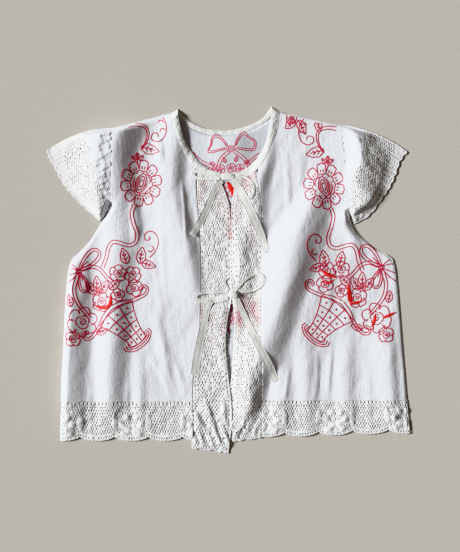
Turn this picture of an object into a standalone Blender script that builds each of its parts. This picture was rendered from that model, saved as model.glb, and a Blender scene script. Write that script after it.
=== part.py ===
"""Short cotton blouse with crochet lace, flutter sleeves and two tape bows, laid flat on its back.

The front faces up (+Z) and the neck points towards +Y. Right and left are the wearer's, so the
right front lies at -X. Tables are in millimetres from a point on the surface, under the middle
of the outline. Each piece of cloth is a wall over a plan grid, lifted by the same soft folds.
"""

import math
from collections import namedtuple

import bmesh
import bpy
from mathutils import Vector
from mathutils.bvhtree import BVHTree

MM = 0.001

# Walls, seams and layers
WALL = 1.2
SEAM_GAP = 0.35
LAYER_GAP = 0.3
FRONT_UNDERSIDE = WALL + LAYER_GAP
TAPE_WALL = 1.0
TAPE_GAP = 0.55
BINDING_WALL = 1.6
# A wall on a slope is made higher, up to this many times, to keep its thickness
STEEPEST_WALL = 2.0
SLOPE_STEP = 0.5

# The folded outside edges curve down to the back over this width, from this share of a fold's height
EDGE_ROLL = 9.0
EDGE_START = 0.05

# How finely each piece is divided: along it, then across
FRONT_GRID = (30, 20)
BAND_GRID = (55, 7)
BINDING_GRID = (18, 2)
RIGHT_HEM_GRID = (4, 32)
LEFT_HEM_GRID = (4, 34)
BACK_HEM_GRID = (1, 72)
SLEEVE_CLOTH_GRID = (36, 3)
SLEEVE_LACE_GRID = (36, 5)
SLEEVE_BACK_GRID = (9, 1)
SLEEVE_LACE_BACK_GRID = (36, 1)
BACK_SIDE_LEVELS = 40

# Hem lace: where it starts and ends, how far it flares, and the levels of its lower edge
RIGHT_HEM_X = -251.3
LEFT_HEM_X = 268.0
BACK_HEM_RIGHT_X = -251.0
BACK_HEM_LEFT_X = 267.5
BACK_HEM_DROP = 2.0
RIGHT_HEM_FLARE = 0.004
LEFT_HEM_FLARE = 0.016
BACK_HEM_FLARE = 0.01
HEM_FLARE_FROM = 180.0
HEM_FLARE_OVER = 90.0
HEM_RIGHT_LEVEL = -234.0
HEM_LEFT_LEVEL = -228.0
HEM_MIDDLE_HALF = 50.0
HEM_SIDE_LIFT = 5.0
HEM_SIDE_LIFT_FROM = 60.0
HEM_SIDE_LIFT_OVER = 200.0
HEM_SCALLOP_PITCH = 51.0
HEM_SCALLOP_DEPTH = 7.0
HEM_SCALLOP_SHIFT = 0.35
HEM_SCALLOP_ROUNDING = 0.6

# The few gaps in the lace that are over 4 mm wide, at the lower end of the left band
LACE_GAPS = ((13.2, -228.6), (19.2, -224.3), (25.2, -222.5), (35.5, -221.7), (15.8, -236.3))
LACE_GAP_RIM = 0.75

# Sleeves: their gathers fan out from a point inside and below the corner under the arm
GATHERS = 9
GATHER_RISE = 2.6
GATHER_SEAM_SHARE = 0.45
GATHER_CROWDING = 4.2
FAN_INSIDE = 60.0
FAN_BELOW = 25.0
SLEEVE_REACH = 95.0
SLEEVE_SEAM_RUN = 120.0
SLEEVE_CLOTH_SHARE = 0.33
SLEEVE_PARTING = SEAM_GAP / 90
SLEEVE_SCALLOP_DEPTH = 3.0
SLEEVE_SCALLOP_FROM = 0.8
SLEEVE_SCALLOP_FADE = 6.0

# One row for each level of a front, from the hem up: the side edge, then the lace or neck edge
FrontRow = namedtuple("FrontRow", "side_x side_y middle_x middle_y")
RIGHT_FRONT_ROWS = (
    FrontRow(-251.5, -183, -53, -183),
    FrontRow(-250.5, -150, -52, -147),
    FrontRow(-248, -103, -44, -90),
    FrontRow(-245.5, -52, -41.5, -40),
    FrontRow(-242, 0, -40.5, 10),
    FrontRow(-236, 28, -42, 60),
    FrontRow(-222, 43, -45, 102),
    FrontRow(-208, 58, -49.5, 137),
    FrontRow(-196, 77, -57, 161),
    FrontRow(-190, 87, -60.4, 173),
    FrontRow(-185, 96, -64.5, 186),
    FrontRow(-178, 112, -73, 205),
    FrontRow(-175.5, 140, -79, 220),
    FrontRow(-175, 185, -83, 237),
    FrontRow(-174.5, 228, -86, 250),
)
LEFT_FRONT_ROWS = (
    FrontRow(268, -181, 50, -181),
    FrontRow(265.5, -150, 50, -147),
    FrontRow(261.5, -103, 50, -90),
    FrontRow(257.5, -52, 50, -40),
    FrontRow(254, -9, 50, 10),
    FrontRow(249.5, 24, 50, 60),
    FrontRow(240, 37, 49.5, 102),
    FrontRow(224, 44, 48, 137),
    FrontRow(205, 59, 51, 160),
    FrontRow(194, 70, 54, 171.5),
    FrontRow(187, 81, 58, 184),
    FrontRow(180.5, 102, 66, 203),
    FrontRow(177.5, 140, 71.5, 219),
    FrontRow(174, 185, 75.4, 237),
    FrontRow(170, 232, 76.5, 252),
)

# One row for each level of a lace band, from the bottom up: the edge on the front, then the free edge
BandRow = namedtuple("BandRow", "seam_x seam_y free_x free_y")
RIGHT_BAND_ROWS = (
    BandRow(-53, -249, 0, -260.5),
    BandRow(-53, -215, 4.5, -218),
    BandRow(-53, -183, 4.5, -186),
    BandRow(-52, -147, 0.5, -150),
    BandRow(-44, -90, -4.5, -98),
    BandRow(-42.3, -60, -1.5, -60),
    BandRow(-41, -25, 4.5, -25),
    BandRow(-40.5, 10, 4.2, 10),
    BandRow(-42, 60, 4, 60),
    BandRow(-45, 102, 2, 104),
    BandRow(-48, 127, -5, 127),
    BandRow(-52, 156, -14, 147),
)
LEFT_BAND_ROWS = (
    BandRow(50, -244, 7, -243),
    BandRow(50, -215, 2, -214),
    BandRow(50, -183, 2, -180),
    BandRow(50, -147, 4.5, -148),
    BandRow(50, -90, 8, -98),
    BandRow(50, -60, 9.5, -60),
    BandRow(50, -25, 6, -25),
    BandRow(50, 10, 5.3, 10),
    BandRow(50, 60, 5.2, 60),
    BandRow(49.5, 102, 6, 104),
    BandRow(48.3, 127, 9.5, 127),
    BandRow(47, 153.5, 11, 147),
)

# One row for each place along the neck binding, from the shoulder to the knot
BindingRow = namedtuple("BindingRow", "inner_x inner_y outer_x outer_y")
RIGHT_BINDING_ROWS = (
    BindingRow(-76, 256.5, -86, 250),
    BindingRow(-74, 240, -83, 237),
    BindingRow(-68, 216, -79, 220),
    BindingRow(-62, 202, -73, 205),
    BindingRow(-53, 189, -64, 186),
    BindingRow(-47.5, 181.5, -59.8, 173),
    BindingRow(-40, 174, -54.5, 161),
    BindingRow(-28, 165.5, -40, 154.2),
    BindingRow(-14, 159, -14, 147),
)
LEFT_BINDING_ROWS = (
    BindingRow(64, 260.5, 76.5, 252),
    BindingRow(63, 240, 75.4, 237),
    BindingRow(59, 218, 71.5, 219),
    BindingRow(53, 199, 66, 203),
    BindingRow(44, 184, 57, 183),
    BindingRow(39, 178, 53, 171),
    BindingRow(33, 172, 48, 160),
    BindingRow(22, 164, 33, 152.4),
    BindingRow(10.5, 159, 10.5, 147),
)

# One row for each place along a sleeve, from the fold on top to the corner below
SleeveRow = namedtuple("SleeveRow", "seam_x seam_y edge_x edge_y bulge")
RIGHT_SLEEVE_ROWS = (
    SleeveRow(-174.5, 228, -270.8, 195, 9),
    SleeveRow(-174.8, 212, -267, 183, 7),
    SleeveRow(-175, 185, -257, 165, 4),
    SleeveRow(-175.2, 160, -246, 144, 2),
    SleeveRow(-175.5, 140, -232, 126, 1),
    SleeveRow(-177, 120, -214, 108, 0),
    SleeveRow(-180, 107, -193, 91, 0),
)
LEFT_SLEEVE_ROWS = (
    SleeveRow(170, 232, 268, 193, 8),
    SleeveRow(171.5, 214, 257, 179, 6),
    SleeveRow(174, 185, 250, 159, 3),
    SleeveRow(176, 160, 241, 139, 2),
    SleeveRow(177.5, 140, 229, 122, 1),
    SleeveRow(179.2, 118, 211, 98, 0),
    SleeveRow(181, 103, 189, 86, 0),
)

# The main folds. Each is followed down its crest: the level of the first row, the step down to the next,
# and rows of where the crest is, how high it stands and how far the cloth slopes away on each side.
Crest = namedtuple("Crest", "x rise toward_right toward_left")
Drape = namedtuple("Drape", "top step crests")
DRAPES = (
    # Right front, beside the sleeve and on down
    Drape(
        240,
        60,
        (
            Crest(-172, 17, 14, 50),
            Crest(-172, 16.5, 14, 44),
            Crest(-170, 10, 22, 46),
            Crest(-168, 6, 30, 42),
            Crest(-172, 8.5, 32, 34),
            Crest(-173, 9.5, 32, 32),
            Crest(-177, 9, 32, 34),
            Crest(-178, 8, 30, 32),
            Crest(-179, 3, 30, 32),
        ),
    ),
    # Right front, beside the side seam
    Drape(
        60,
        60,
        (
            Crest(-228, 0, 12, 30),
            Crest(-239, 8, 10, 36),
            Crest(-243, 10, 8, 38),
            Crest(-244, 9.5, 8, 38),
            Crest(-244, 8, 8, 36),
            Crest(-246, 3, 6, 30),
        ),
    ),
    # Right front, from the neck
    Drape(
        240,
        60,
        (
            Crest(-90, 3, 30, 16),
            Crest(-87, 7, 45, 21),
            Crest(-83, 7, 50, 28),
            Crest(-66, 7.5, 55, 24),
            Crest(-55, 5.5, 50, 24),
            Crest(-50, 0, 40, 20),
        ),
    ),
    # Left front, slanting from the sleeve to the lace
    Drape(
        180,
        30,
        (
            Crest(138, 0, 20, 22),
            Crest(134, 4, 25, 26),
            Crest(126, 8.5, 32, 36),
            Crest(112, 13, 40, 48),
            Crest(98, 15, 48, 54),
            Crest(91, 15.5, 52, 50),
            Crest(84, 15, 55, 44),
            Crest(76, 14, 55, 40),
            Crest(67, 13, 50, 38),
            Crest(57, 12.5, 44, 38),
            Crest(46, 11, 38, 36),
            Crest(34, 7, 30, 30),
            Crest(26, 0, 24, 24),
        ),
    ),
    # Left front, the wide slope behind that fold
    Drape(
        120,
        60,
        (
            Crest(120, 0, 60, 70),
            Crest(115, 3, 60, 80),
            Crest(110, 5, 60, 85),
            Crest(100, 5, 60, 90),
            Crest(95, 3, 60, 80),
            Crest(95, 1.5, 60, 80),
        ),
    ),
    # Left front, from the neck
    Drape(
        210,
        30,
        (
            Crest(62, 2, 14, 14),
            Crest(57, 4.5, 20, 17),
            Crest(46, 7, 25, 22),
            Crest(39, 7, 28, 26),
            Crest(39, 6, 28, 26),
            Crest(44, 3, 28, 24),
            Crest(45, 0, 20, 20),
        ),
    ),
    # Left lace band
    Drape(
        90,
        30,
        (
            Crest(14, 1, 14, 20),
            Crest(16, 5.5, 16, 24),
            Crest(18, 6, 18, 28),
            Crest(18, 6, 18, 28),
            Crest(20, 5.5, 18, 26),
            Crest(20, 0, 16, 24),
        ),
    ),
    # Left sleeve
    Drape(
        240,
        30,
        (
            Crest(186, 8, 20, 32),
            Crest(193, 12.5, 22, 38),
            Crest(200, 15, 26, 46),
            Crest(190, 14, 22, 60),
            Crest(212, 8, 34, 26),
            Crest(214, 3, 20, 14),
        ),
    ),
)

# The smaller folds, from upper end to lower end, with a gentle and a steep side
Fold = namedtuple("Fold", "x0 y0 x1 y1 bow rise toward_right toward_left fade_in fade_out")
FOLDS = (
    # Right front
    Fold(-143, 135, -136, 40, 0, 2.5, 12, 12, 0.4, 0.4),
    Fold(-107, 225, -100, 165, 0, 2.2, 10, 10, 0.3, 0.4),
    Fold(-112, -30, -86, -165, 0, 2.2, 14, 11, 0.4, 0.2),
    Fold(-135, -90, -132, -262, 0, 2.0, 16, 14, 0.4, 0.05),
    # Left front
    Fold(178, 125, 195, 20, 0, 6, 15, 14, 0.35, 0.2),
    Fold(82, -115, 79, -262, 0, 2.5, 12, 10, 0.4, 0.05),
    Fold(116, -65, 121, -262, 0, 3.5, 22, 18, 0.35, 0.01),
    Fold(172, -80, 172, -262, 0, 3.0, 18, 16, 0.35, 0.01),
    Fold(232, -30, 245, -262, 0, 5, 32, 20, 0.35, 0.01),
    # Lace bands
    Fold(-8, -22, -9, -165, 0, 4.5, 20, 14, 0.15, 0.25),
    Fold(38, -150, 13, -250, 0, 4.5, 26, 15, 0.25, 0.15),
    Fold(-49, -182, -52, -275, 0, 5, 7, 10, 0.3, 0.01),
    Fold(-35, -165, -17, -270, 0, 5, 12, 10, 0.35, 0.01),
    Fold(-3, -185, 2, -275, 0, 5, 13, 8, 0.35, 0.01),
)

# The folds die away towards the lower edge, to this share of their height
HEM_CALM_SHARE = 0.35
HEM_CALM_Y = -240.0
HEM_CALM_OVER = 50.0

# The lower end of the right band lies over the left one
OVERLAP_RISE = 3.0
OVERLAP_START_X = -12.0
OVERLAP_WIDTH = 8.0
OVERLAP_TOP_Y = -122.0
OVERLAP_FADE = 22.0

# One row for each bend of a tape, from the knot outwards
TapePoint = namedtuple("TapePoint", "x y width")
TAPES = {
    "neck_bow_right_tail": (
        TapePoint(-15, 146, 8),
        TapePoint(-23, 133, 8.5),
        TapePoint(-33, 108, 9),
        TapePoint(-43, 87, 9.5),
        TapePoint(-55.5, 66, 10),
    ),
    "neck_bow_left_tail": (
        TapePoint(12, 146.5, 10),
        TapePoint(23, 124.5, 12),
        TapePoint(37.5, 91.5, 11.5),
        TapePoint(50, 63, 9),
        TapePoint(58.5, 41, 3),
    ),
    "neck_bow_left_loop": (
        TapePoint(13, 156, 4),
        TapePoint(26, 152.5, 3.5),
        TapePoint(36, 144, 3.5),
        TapePoint(39, 133, 3.5),
        TapePoint(36.5, 122, 4),
    ),
    "neck_bow_right_loop": (
        TapePoint(-13, 152.5, 5),
        TapePoint(-30, 150.5, 5.5),
        TapePoint(-46, 151, 5.5),
        TapePoint(-52, 156, 5),
        TapePoint(-46, 161.5, 5.5),
        TapePoint(-30, 161, 5.5),
        TapePoint(-13, 157.5, 5),
    ),
    "waist_bow_right_loop": (
        TapePoint(-4, -17.5, 5),
        TapePoint(-24, -18, 5.5),
        TapePoint(-43, -20, 6),
        TapePoint(-49, -25.5, 6),
        TapePoint(-43, -31, 6),
        TapePoint(-24, -31.5, 6.5),
        TapePoint(-4, -26.5, 6),
    ),
    "waist_bow_left_loop": (
        TapePoint(14, -14, 5),
        TapePoint(27, -1, 5),
        TapePoint(40, 7.5, 5.5),
        TapePoint(52, 6, 6),
        TapePoint(53.5, -5, 6),
        TapePoint(44, -13, 6),
        TapePoint(31, -18, 5.5),
        TapePoint(16, -21.5, 5),
    ),
    "waist_bow_small_loop": (
        TapePoint(0, -12.5, 3.5),
        TapePoint(-5, -3, 3.5),
        TapePoint(0, 4.5, 3.5),
        TapePoint(4.5, -3, 3.5),
        TapePoint(5.5, -12, 3.5),
    ),
    "waist_bow_right_tail": (
        TapePoint(-27, -39, 8),
        TapePoint(-34, -60, 9),
        TapePoint(-38, -97.5, 10),
        TapePoint(-43, -120, 11),
        TapePoint(-49, -142, 12),
    ),
    "waist_bow_left_tail": (
        TapePoint(15, -32, 6),
        TapePoint(27, -62, 9),
        TapePoint(43, -94, 11),
        TapePoint(56, -120, 11),
        TapePoint(70.5, -151, 10),
    ),
}
TAPE_STEP = 6.0
# How closely the ground under a tape is felt for, along one step and across the tape
TAPE_FEEL_ALONG = 8
TAPE_FEEL_ACROSS = 8

# Knots: middle and half sizes
Knot = namedtuple("Knot", "x y half_x half_y half_z")
KNOTS = {
    "neck_bow_knot": Knot(-1.5, 154, 10.5, 5.5, 3.2),
    "waist_bow_knot": Knot(5.5, -21, 7.5, 6.5, 3.6),
}

# Back neck: the upper edge of its binding, from the right shoulder to the left one
NECK_EDGE = ((-76, 255), (-66, 245), (-54, 236), (-32, 227), (-6, 224.5), (14, 226.5), (34, 233), (52, 243), (64, 259))
BACK_BINDING_WIDTH = 8.0
RIGHT_SHOULDER = (-86, 250)
LEFT_SHOULDER = (76.5, 252)
KNOT_FEEL = 12
KNOT_SIDES = 14
KNOT_RINGS = 8


def smooth(t):
    t = min(max(t, 0.0), 1.0)
    return t * t * (3 - 2 * t)


def along(rows, t):
    """The row at t, from 0 at the first to 1 at the last, on a smooth curve through the table."""
    place = min(max(t, 0.0), 1.0) * (len(rows) - 1)
    first = min(int(place), len(rows) - 2)
    part = place - first
    before = rows[max(first - 1, 0)]
    after = rows[min(first + 2, len(rows) - 1)]
    values = []
    for a, b, c, d in zip(before, rows[first], rows[first + 1], after):
        bend = (2 * a - 5 * b + 4 * c - d) * part + (3 * b - a - 3 * c + d) * part * part
        values.append(b + 0.5 * part * (c - a + bend))
    return type(rows[0])(*values)


def fold_rise(fold, x, y):
    """How far one fold lifts the cloth at a point."""
    dx = fold.x1 - fold.x0
    dy = fold.y1 - fold.y0
    length = math.hypot(dx, dy)
    t = ((x - fold.x0) * dx + (y - fold.y0) * dy) / length**2
    if not 0 < t < 1:
        return 0.0
    across = (-(x - fold.x0) * dy + (y - fold.y0) * dx) / length - 4 * fold.bow * t * (1 - t)
    width = fold.toward_left if across > 0 else fold.toward_right
    if abs(across) >= width:
        return 0.0
    crest = 0.5 + 0.5 * math.cos(math.pi * across / width)
    return fold.rise * crest * smooth(t / fold.fade_in) * smooth((1 - t) / fold.fade_out)


def drape_rise(drape, x, y):
    """How far one of the main folds lifts the cloth at a point."""
    here = along(drape.crests, (drape.top - y) / (drape.step * (len(drape.crests) - 1)))
    width = here.toward_left if x > here.x else here.toward_right
    away = min(abs(x - here.x) / width, 1.0)
    return here.rise * (0.5 + 0.5 * math.cos(math.pi * away))


def side_outline():
    """The outside edges where front and back meet: both sides, and over the shoulders and sleeves."""
    right_side = [(row.side_x, row.side_y) for row in RIGHT_FRONT_ROWS[:12]]
    right_side[0] = (-253, -262)
    left_side = [(row.side_x, row.side_y) for row in LEFT_FRONT_ROWS[:12]]
    left_side[0] = (273, -262)
    right_top = [(-272.2, 195), (-244, 212), (-220, 222), (-174.5, 228), RIGHT_SHOULDER, (-76, 257)]
    left_top = [(268, 193), (236, 211.5), (212, 222), (170, 232), LEFT_SHOULDER, (64, 261)]
    return right_side, left_side, right_top, left_top


OUTLINES = side_outline()


def distance_to(line, x, y):
    nearest = math.inf
    for (ax, ay), (bx, by) in zip(line, line[1:]):
        dx = bx - ax
        dy = by - ay
        t = min(max(((x - ax) * dx + (y - ay) * dy) / (dx * dx + dy * dy), 0.0), 1.0)
        nearest = min(nearest, math.hypot(x - ax - t * dx, y - ay - t * dy))
    return nearest


def rise(x, y):
    """How far the folds lift the upper layer off the back at a point."""
    edge = min(distance_to(line, x, y) for line in OUTLINES)
    folds = sum(drape_rise(drape, x, y) for drape in DRAPES) + sum(fold_rise(fold, x, y) for fold in FOLDS)
    calm = HEM_CALM_SHARE + (1 - HEM_CALM_SHARE) * smooth((y - HEM_CALM_Y) / HEM_CALM_OVER)
    return smooth(edge / EDGE_ROLL + EDGE_START) * calm * folds


def flat(x, y):
    return 0.0


def front_underside(x, y):
    return FRONT_UNDERSIDE + rise(x, y)


def right_band_underside(x, y):
    """The right band steps up on to the left one where the two cross below the waist."""
    over = smooth((x - OVERLAP_START_X) / OVERLAP_WIDTH) * smooth((OVERLAP_TOP_Y - y) / OVERLAP_FADE)
    return front_underside(x, y) + OVERLAP_RISE * over


def wall_height(underside, x, y, wall):
    """The height of the wall over one point, so that it keeps its thickness on a slope."""
    slope_x = (underside(x + SLOPE_STEP, y) - underside(x - SLOPE_STEP, y)) / (2 * SLOPE_STEP)
    slope_y = (underside(x, y + SLOPE_STEP) - underside(x, y - SLOPE_STEP)) / (2 * SLOPE_STEP)
    return wall * min(math.sqrt(1 + slope_x**2 + slope_y**2), STEEPEST_WALL)


def material(name, colour, roughness):
    made = bpy.data.materials.new(name)
    made.use_nodes = True
    shader = made.node_tree.nodes["Principled BSDF"]
    shader.inputs["Base Color"].default_value = (*colour, 1)
    shader.inputs["Roughness"].default_value = roughness
    shader.inputs["Metallic"].default_value = 0
    return made


def add_object(name, mesh, finish):
    obj = bpy.data.objects.new(name, mesh)
    obj.data.materials.append(finish)
    BLOUSE.objects.link(obj)
    return obj


def cut_gaps(bm, gaps):
    """Open a hole in the mesh of a sheet at each gap, inside a narrow rim."""
    bm.normal_update()
    bm.faces.index_update()
    middles = [(face, face.calc_center_median()) for face in bm.faces]
    cells = {min(middles, key=lambda m: math.hypot(m[1].x - x, m[1].y - y))[0] for x, y in gaps}
    cells = sorted(cells, key=lambda face: face.index)
    bmesh.ops.inset_individual(bm, faces=cells, thickness=LACE_GAP_RIM)
    bmesh.ops.delete(bm, geom=cells, context="FACES")


def cloth(name, plan, underside, finish, wall=WALL, gaps=()):
    """One wall of cloth over a plan grid: an open sheet, extruded up by the wall's own height."""
    bm = bmesh.new()
    grid = [[bm.verts.new((x, y, underside(x, y))) for x, y in row] for row in plan]
    for lower, upper in zip(grid, grid[1:]):
        for a, b, c, d in zip(lower, lower[1:], upper[1:], upper):
            bm.faces.new((a, b, c, d))
    if gaps:
        cut_gaps(bm, gaps)
    raised = bmesh.ops.extrude_face_region(bm, geom=bm.faces[:], use_keep_orig=True)["geom"]
    for vert in raised:
        if isinstance(vert, bmesh.types.BMVert):
            vert.co.z += wall_height(underside, vert.co.x, vert.co.y, wall)
    bmesh.ops.recalc_face_normals(bm, faces=bm.faces[:])
    bmesh.ops.scale(bm, vec=(MM, MM, MM), verts=bm.verts[:])
    mesh = bpy.data.meshes.new(name)
    bm.to_mesh(mesh)
    bm.free()
    return add_object(name, mesh, finish)


def flat_cloth(name, outline, finish):
    """One flat wall on the surface: its outline as a filled curve, with half the wall each way."""
    curve = bpy.data.curves.new(name, "CURVE")
    curve.dimensions = "2D"
    curve.fill_mode = "BOTH"
    curve.extrude = WALL / 2 * MM
    spline = curve.splines.new("POLY")
    spline.points.add(len(outline) - 1)
    spline.use_cyclic_u = True
    for point, (x, y) in zip(spline.points, outline):
        point.co = (x * MM, y * MM, 0, 1)
    obj = add_object(name, curve, finish)
    obj.location.z = WALL / 2 * MM
    return obj


def blend(a, b, t):
    return a + (b - a) * t


def front_plan(rows, levels, columns):
    """A front's plan: each level runs from the side edge to the lace or neck edge."""
    toward_middle = math.copysign(SEAM_GAP / 2, -rows[0].side_x)
    plan = []
    for level in range(levels + 1):
        row = along(rows, level / levels)
        middle_x = row.middle_x - toward_middle
        side_x = row.side_x + toward_middle
        plan.append(
            [
                (blend(side_x, middle_x, c / columns), blend(row.side_y, row.middle_y, c / columns))
                for c in range(columns + 1)
            ]
        )
    return plan


def make_fronts(cotton):
    for name, rows in (("right_front", RIGHT_FRONT_ROWS), ("left_front", LEFT_FRONT_ROWS)):
        cloth(name, front_plan(rows, *FRONT_GRID), front_underside, cotton)


def make_bands(lace):
    bands = (
        ("right_front_lace", RIGHT_BAND_ROWS, right_band_underside, ()),
        ("left_front_lace", LEFT_BAND_ROWS, front_underside, LACE_GAPS),
    )
    levels, columns = BAND_GRID
    for name, rows, underside, gaps in bands:
        toward_free = math.copysign(SEAM_GAP / 2, rows[0].free_x - rows[0].seam_x)
        plan = []
        for level in range(levels + 1):
            row = along(rows, level / levels)
            seam_x = row.seam_x + toward_free
            plan.append(
                [
                    (blend(seam_x, row.free_x, c / columns), blend(row.seam_y, row.free_y, c / columns))
                    for c in range(columns + 1)
                ]
            )
        cloth(name, plan, underside, lace, gaps=gaps)


def hem_bottom(x):
    """The scalloped lower edge: rounded tips with short notches between them."""
    toward_left = smooth((x + HEM_MIDDLE_HALF) / (2 * HEM_MIDDLE_HALF))
    level = blend(HEM_RIGHT_LEVEL, HEM_LEFT_LEVEL, toward_left)
    level += HEM_SIDE_LIFT * smooth((x - HEM_SIDE_LIFT_FROM) / HEM_SIDE_LIFT_OVER)
    phase = abs(math.sin(math.pi * (x / HEM_SCALLOP_PITCH + HEM_SCALLOP_SHIFT)))
    return level - HEM_SCALLOP_DEPTH * phase**HEM_SCALLOP_ROUNDING


def hem_plan(first_x, last_x, top_y, flare, rows, columns):
    plan = []
    for row in range(rows + 1):
        down = row / rows
        line = []
        for c in range(columns + 1):
            x = blend(first_x, last_x, c / columns)
            spread = 1 + flare * down * smooth((abs(x) - HEM_FLARE_FROM) / HEM_FLARE_OVER)
            line.append((x * spread, blend(top_y, hem_bottom(x), down)))
        plan.append(line)
    return plan


def make_hem_lace(lace):
    right_top = RIGHT_FRONT_ROWS[0].side_y - SEAM_GAP
    left_top = LEFT_FRONT_ROWS[0].side_y - SEAM_GAP
    band_seam_right = RIGHT_BAND_ROWS[0].seam_x - SEAM_GAP / 2
    band_seam_left = LEFT_BAND_ROWS[0].seam_x + SEAM_GAP / 2
    right = hem_plan(RIGHT_HEM_X, band_seam_right, right_top, RIGHT_HEM_FLARE, *RIGHT_HEM_GRID)
    left = hem_plan(band_seam_left, LEFT_HEM_X, left_top, LEFT_HEM_FLARE, *LEFT_HEM_GRID)
    cloth("right_hem_lace", right, front_underside, lace)
    cloth("left_hem_lace", left, front_underside, lace)
    back_top = left_top - BACK_HEM_DROP
    back = hem_plan(BACK_HEM_RIGHT_X, BACK_HEM_LEFT_X, back_top, BACK_HEM_FLARE, *BACK_HEM_GRID)
    flat_cloth("back_hem_lace", back[0] + back[1][::-1], lace)


def sleeve_plan(rows, levels, columns, first, last):
    """Part of a sleeve's plan, from the share first of its depth to the share last."""
    outward = math.copysign(1.0, rows[0].edge_x)
    plan = []
    for level in range(levels + 1):
        t = level / levels
        row = along(rows, t)
        scallop = SLEEVE_SCALLOP_DEPTH * abs(math.sin(math.pi * GATHERS * t))
        scallop *= smooth((1 - t) * SLEEVE_SCALLOP_FADE)
        line = []
        for c in range(columns + 1):
            depth = blend(first, last, c / columns)
            reach = math.hypot(row.edge_x - row.seam_x, row.edge_y - row.seam_y)
            depth += scallop / reach * smooth((depth - SLEEVE_SCALLOP_FROM) / (1 - SLEEVE_SCALLOP_FROM))
            x = blend(row.seam_x + outward * SEAM_GAP / 2, row.edge_x, depth)
            y = blend(row.seam_y, row.edge_y, depth) + 4 * row.bulge * depth * (1 - depth)
            line.append((x, y))
        plan.append(line)
    return plan


def gathered(rows):
    """The underside of a sleeve's upper layer: the folds, with gathers that open towards its edge."""

    def underside(x, y):
        seam_x = blend(rows[0].seam_x, rows[-1].seam_x, smooth((rows[0].seam_y - y) / SLEEVE_SEAM_RUN))
        out = min(abs(x - seam_x) / SLEEVE_REACH, 1.0)
        angle = math.atan2(y - rows[-1].seam_y + FAN_BELOW, abs(x - seam_x) + FAN_INSIDE)
        wave = 0.5 + 0.5 * math.cos(angle * GATHERS * GATHER_CROWDING)
        height = GATHER_RISE * blend(GATHER_SEAM_SHARE, 1.0, out)
        top = min(distance_to(line, x, y) for line in OUTLINES)
        return front_underside(x, y) + wave * height * smooth(top / EDGE_ROLL)

    return underside


def make_sleeves(cotton, lace):
    for side, rows in (("right", RIGHT_SLEEVE_ROWS), ("left", LEFT_SLEEVE_ROWS)):
        split = SLEEVE_CLOTH_SHARE
        lace_from = split + SLEEVE_PARTING
        underside = gathered(rows)
        cloth(f"{side}_sleeve_front", sleeve_plan(rows, *SLEEVE_CLOTH_GRID, 0, split), underside, cotton)
        outer = sleeve_plan(rows, *SLEEVE_LACE_GRID, lace_from, 1)
        cloth(f"{side}_sleeve_lace_front", outer, underside, lace)
        cloth(f"{side}_sleeve_back", sleeve_plan(rows, *SLEEVE_BACK_GRID, 0, split), flat, cotton)
        outer_back = sleeve_plan(rows, *SLEEVE_LACE_BACK_GRID, lace_from, 1)
        cloth(f"{side}_sleeve_lace_back", outer_back, flat, lace)


def neck_offset(distance):
    """The back neck's edge, moved inwards by a distance, between the two shoulders."""
    moved = []
    for i, (x, y) in enumerate(NECK_EDGE):
        ax, ay = NECK_EDGE[max(i - 1, 0)]
        bx, by = NECK_EDGE[min(i + 1, len(NECK_EDGE) - 1)]
        run = math.hypot(bx - ax, by - ay)
        moved.append((x + (by - ay) / run * distance, y - (bx - ax) / run * distance))
    return moved


def make_back(cotton, tape):
    """The back panel, plain and flat where it rests, and the binding along its neck."""
    neck = neck_offset(BACK_BINDING_WIDTH + SEAM_GAP)
    levels = BACK_SIDE_LEVELS
    right = [along(RIGHT_FRONT_ROWS, i / levels) for i in range(levels + 1)]
    left = [along(LEFT_FRONT_ROWS, i / levels) for i in range(levels + 1)]
    outline = [(row.side_x + SEAM_GAP / 2, row.side_y) for row in right]
    outline += [RIGHT_SHOULDER] + neck[1:-1] + [LEFT_SHOULDER]
    outline += [(row.side_x - SEAM_GAP / 2, row.side_y) for row in reversed(left)]
    flat_cloth("back_panel", outline, cotton)
    inner = neck_offset(BACK_BINDING_WIDTH)
    flat_cloth("back_neck_binding", list(NECK_EDGE) + inner[1:-1][::-1], tape)


def make_front_binding(tape):
    sides = (("right", RIGHT_BINDING_ROWS), ("left", LEFT_BINDING_ROWS))
    levels, columns = BINDING_GRID
    for side, rows in sides:
        plan = []
        for level in range(levels + 1):
            row = along(rows, level / levels)
            run = math.hypot(row.outer_x - row.inner_x, row.outer_y - row.inner_y)
            back_off = 1 - SEAM_GAP / run
            line = []
            for c in range(columns + 1):
                share = back_off * c / columns
                line.append((blend(row.inner_x, row.outer_x, share), blend(row.inner_y, row.outer_y, share)))
            plan.append(line)
        cloth(f"{side}_neck_binding", plan, front_underside, tape, wall=BINDING_WALL)


def support_tree(objects):
    """The surfaces of what is built so far, for tapes and knots to rest on."""
    graph = bpy.context.evaluated_depsgraph_get()
    verts = []
    polygons = []
    for obj in objects:
        mesh = obj.evaluated_get(graph).to_mesh()
        start = len(verts)
        verts += [obj.matrix_world @ v.co for v in mesh.vertices]
        polygons += [[start + i for i in p.vertices] for p in mesh.polygons]
    return BVHTree.FromPolygons(verts, polygons)


def rest_height(tree, x, y):
    """The height in millimetres of the highest surface under a point."""
    hit = tree.ray_cast(Vector((x * MM, y * MM, 1.0)), Vector((0, 0, -1)))[0]
    return hit.z / MM if hit else 0.0


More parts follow.
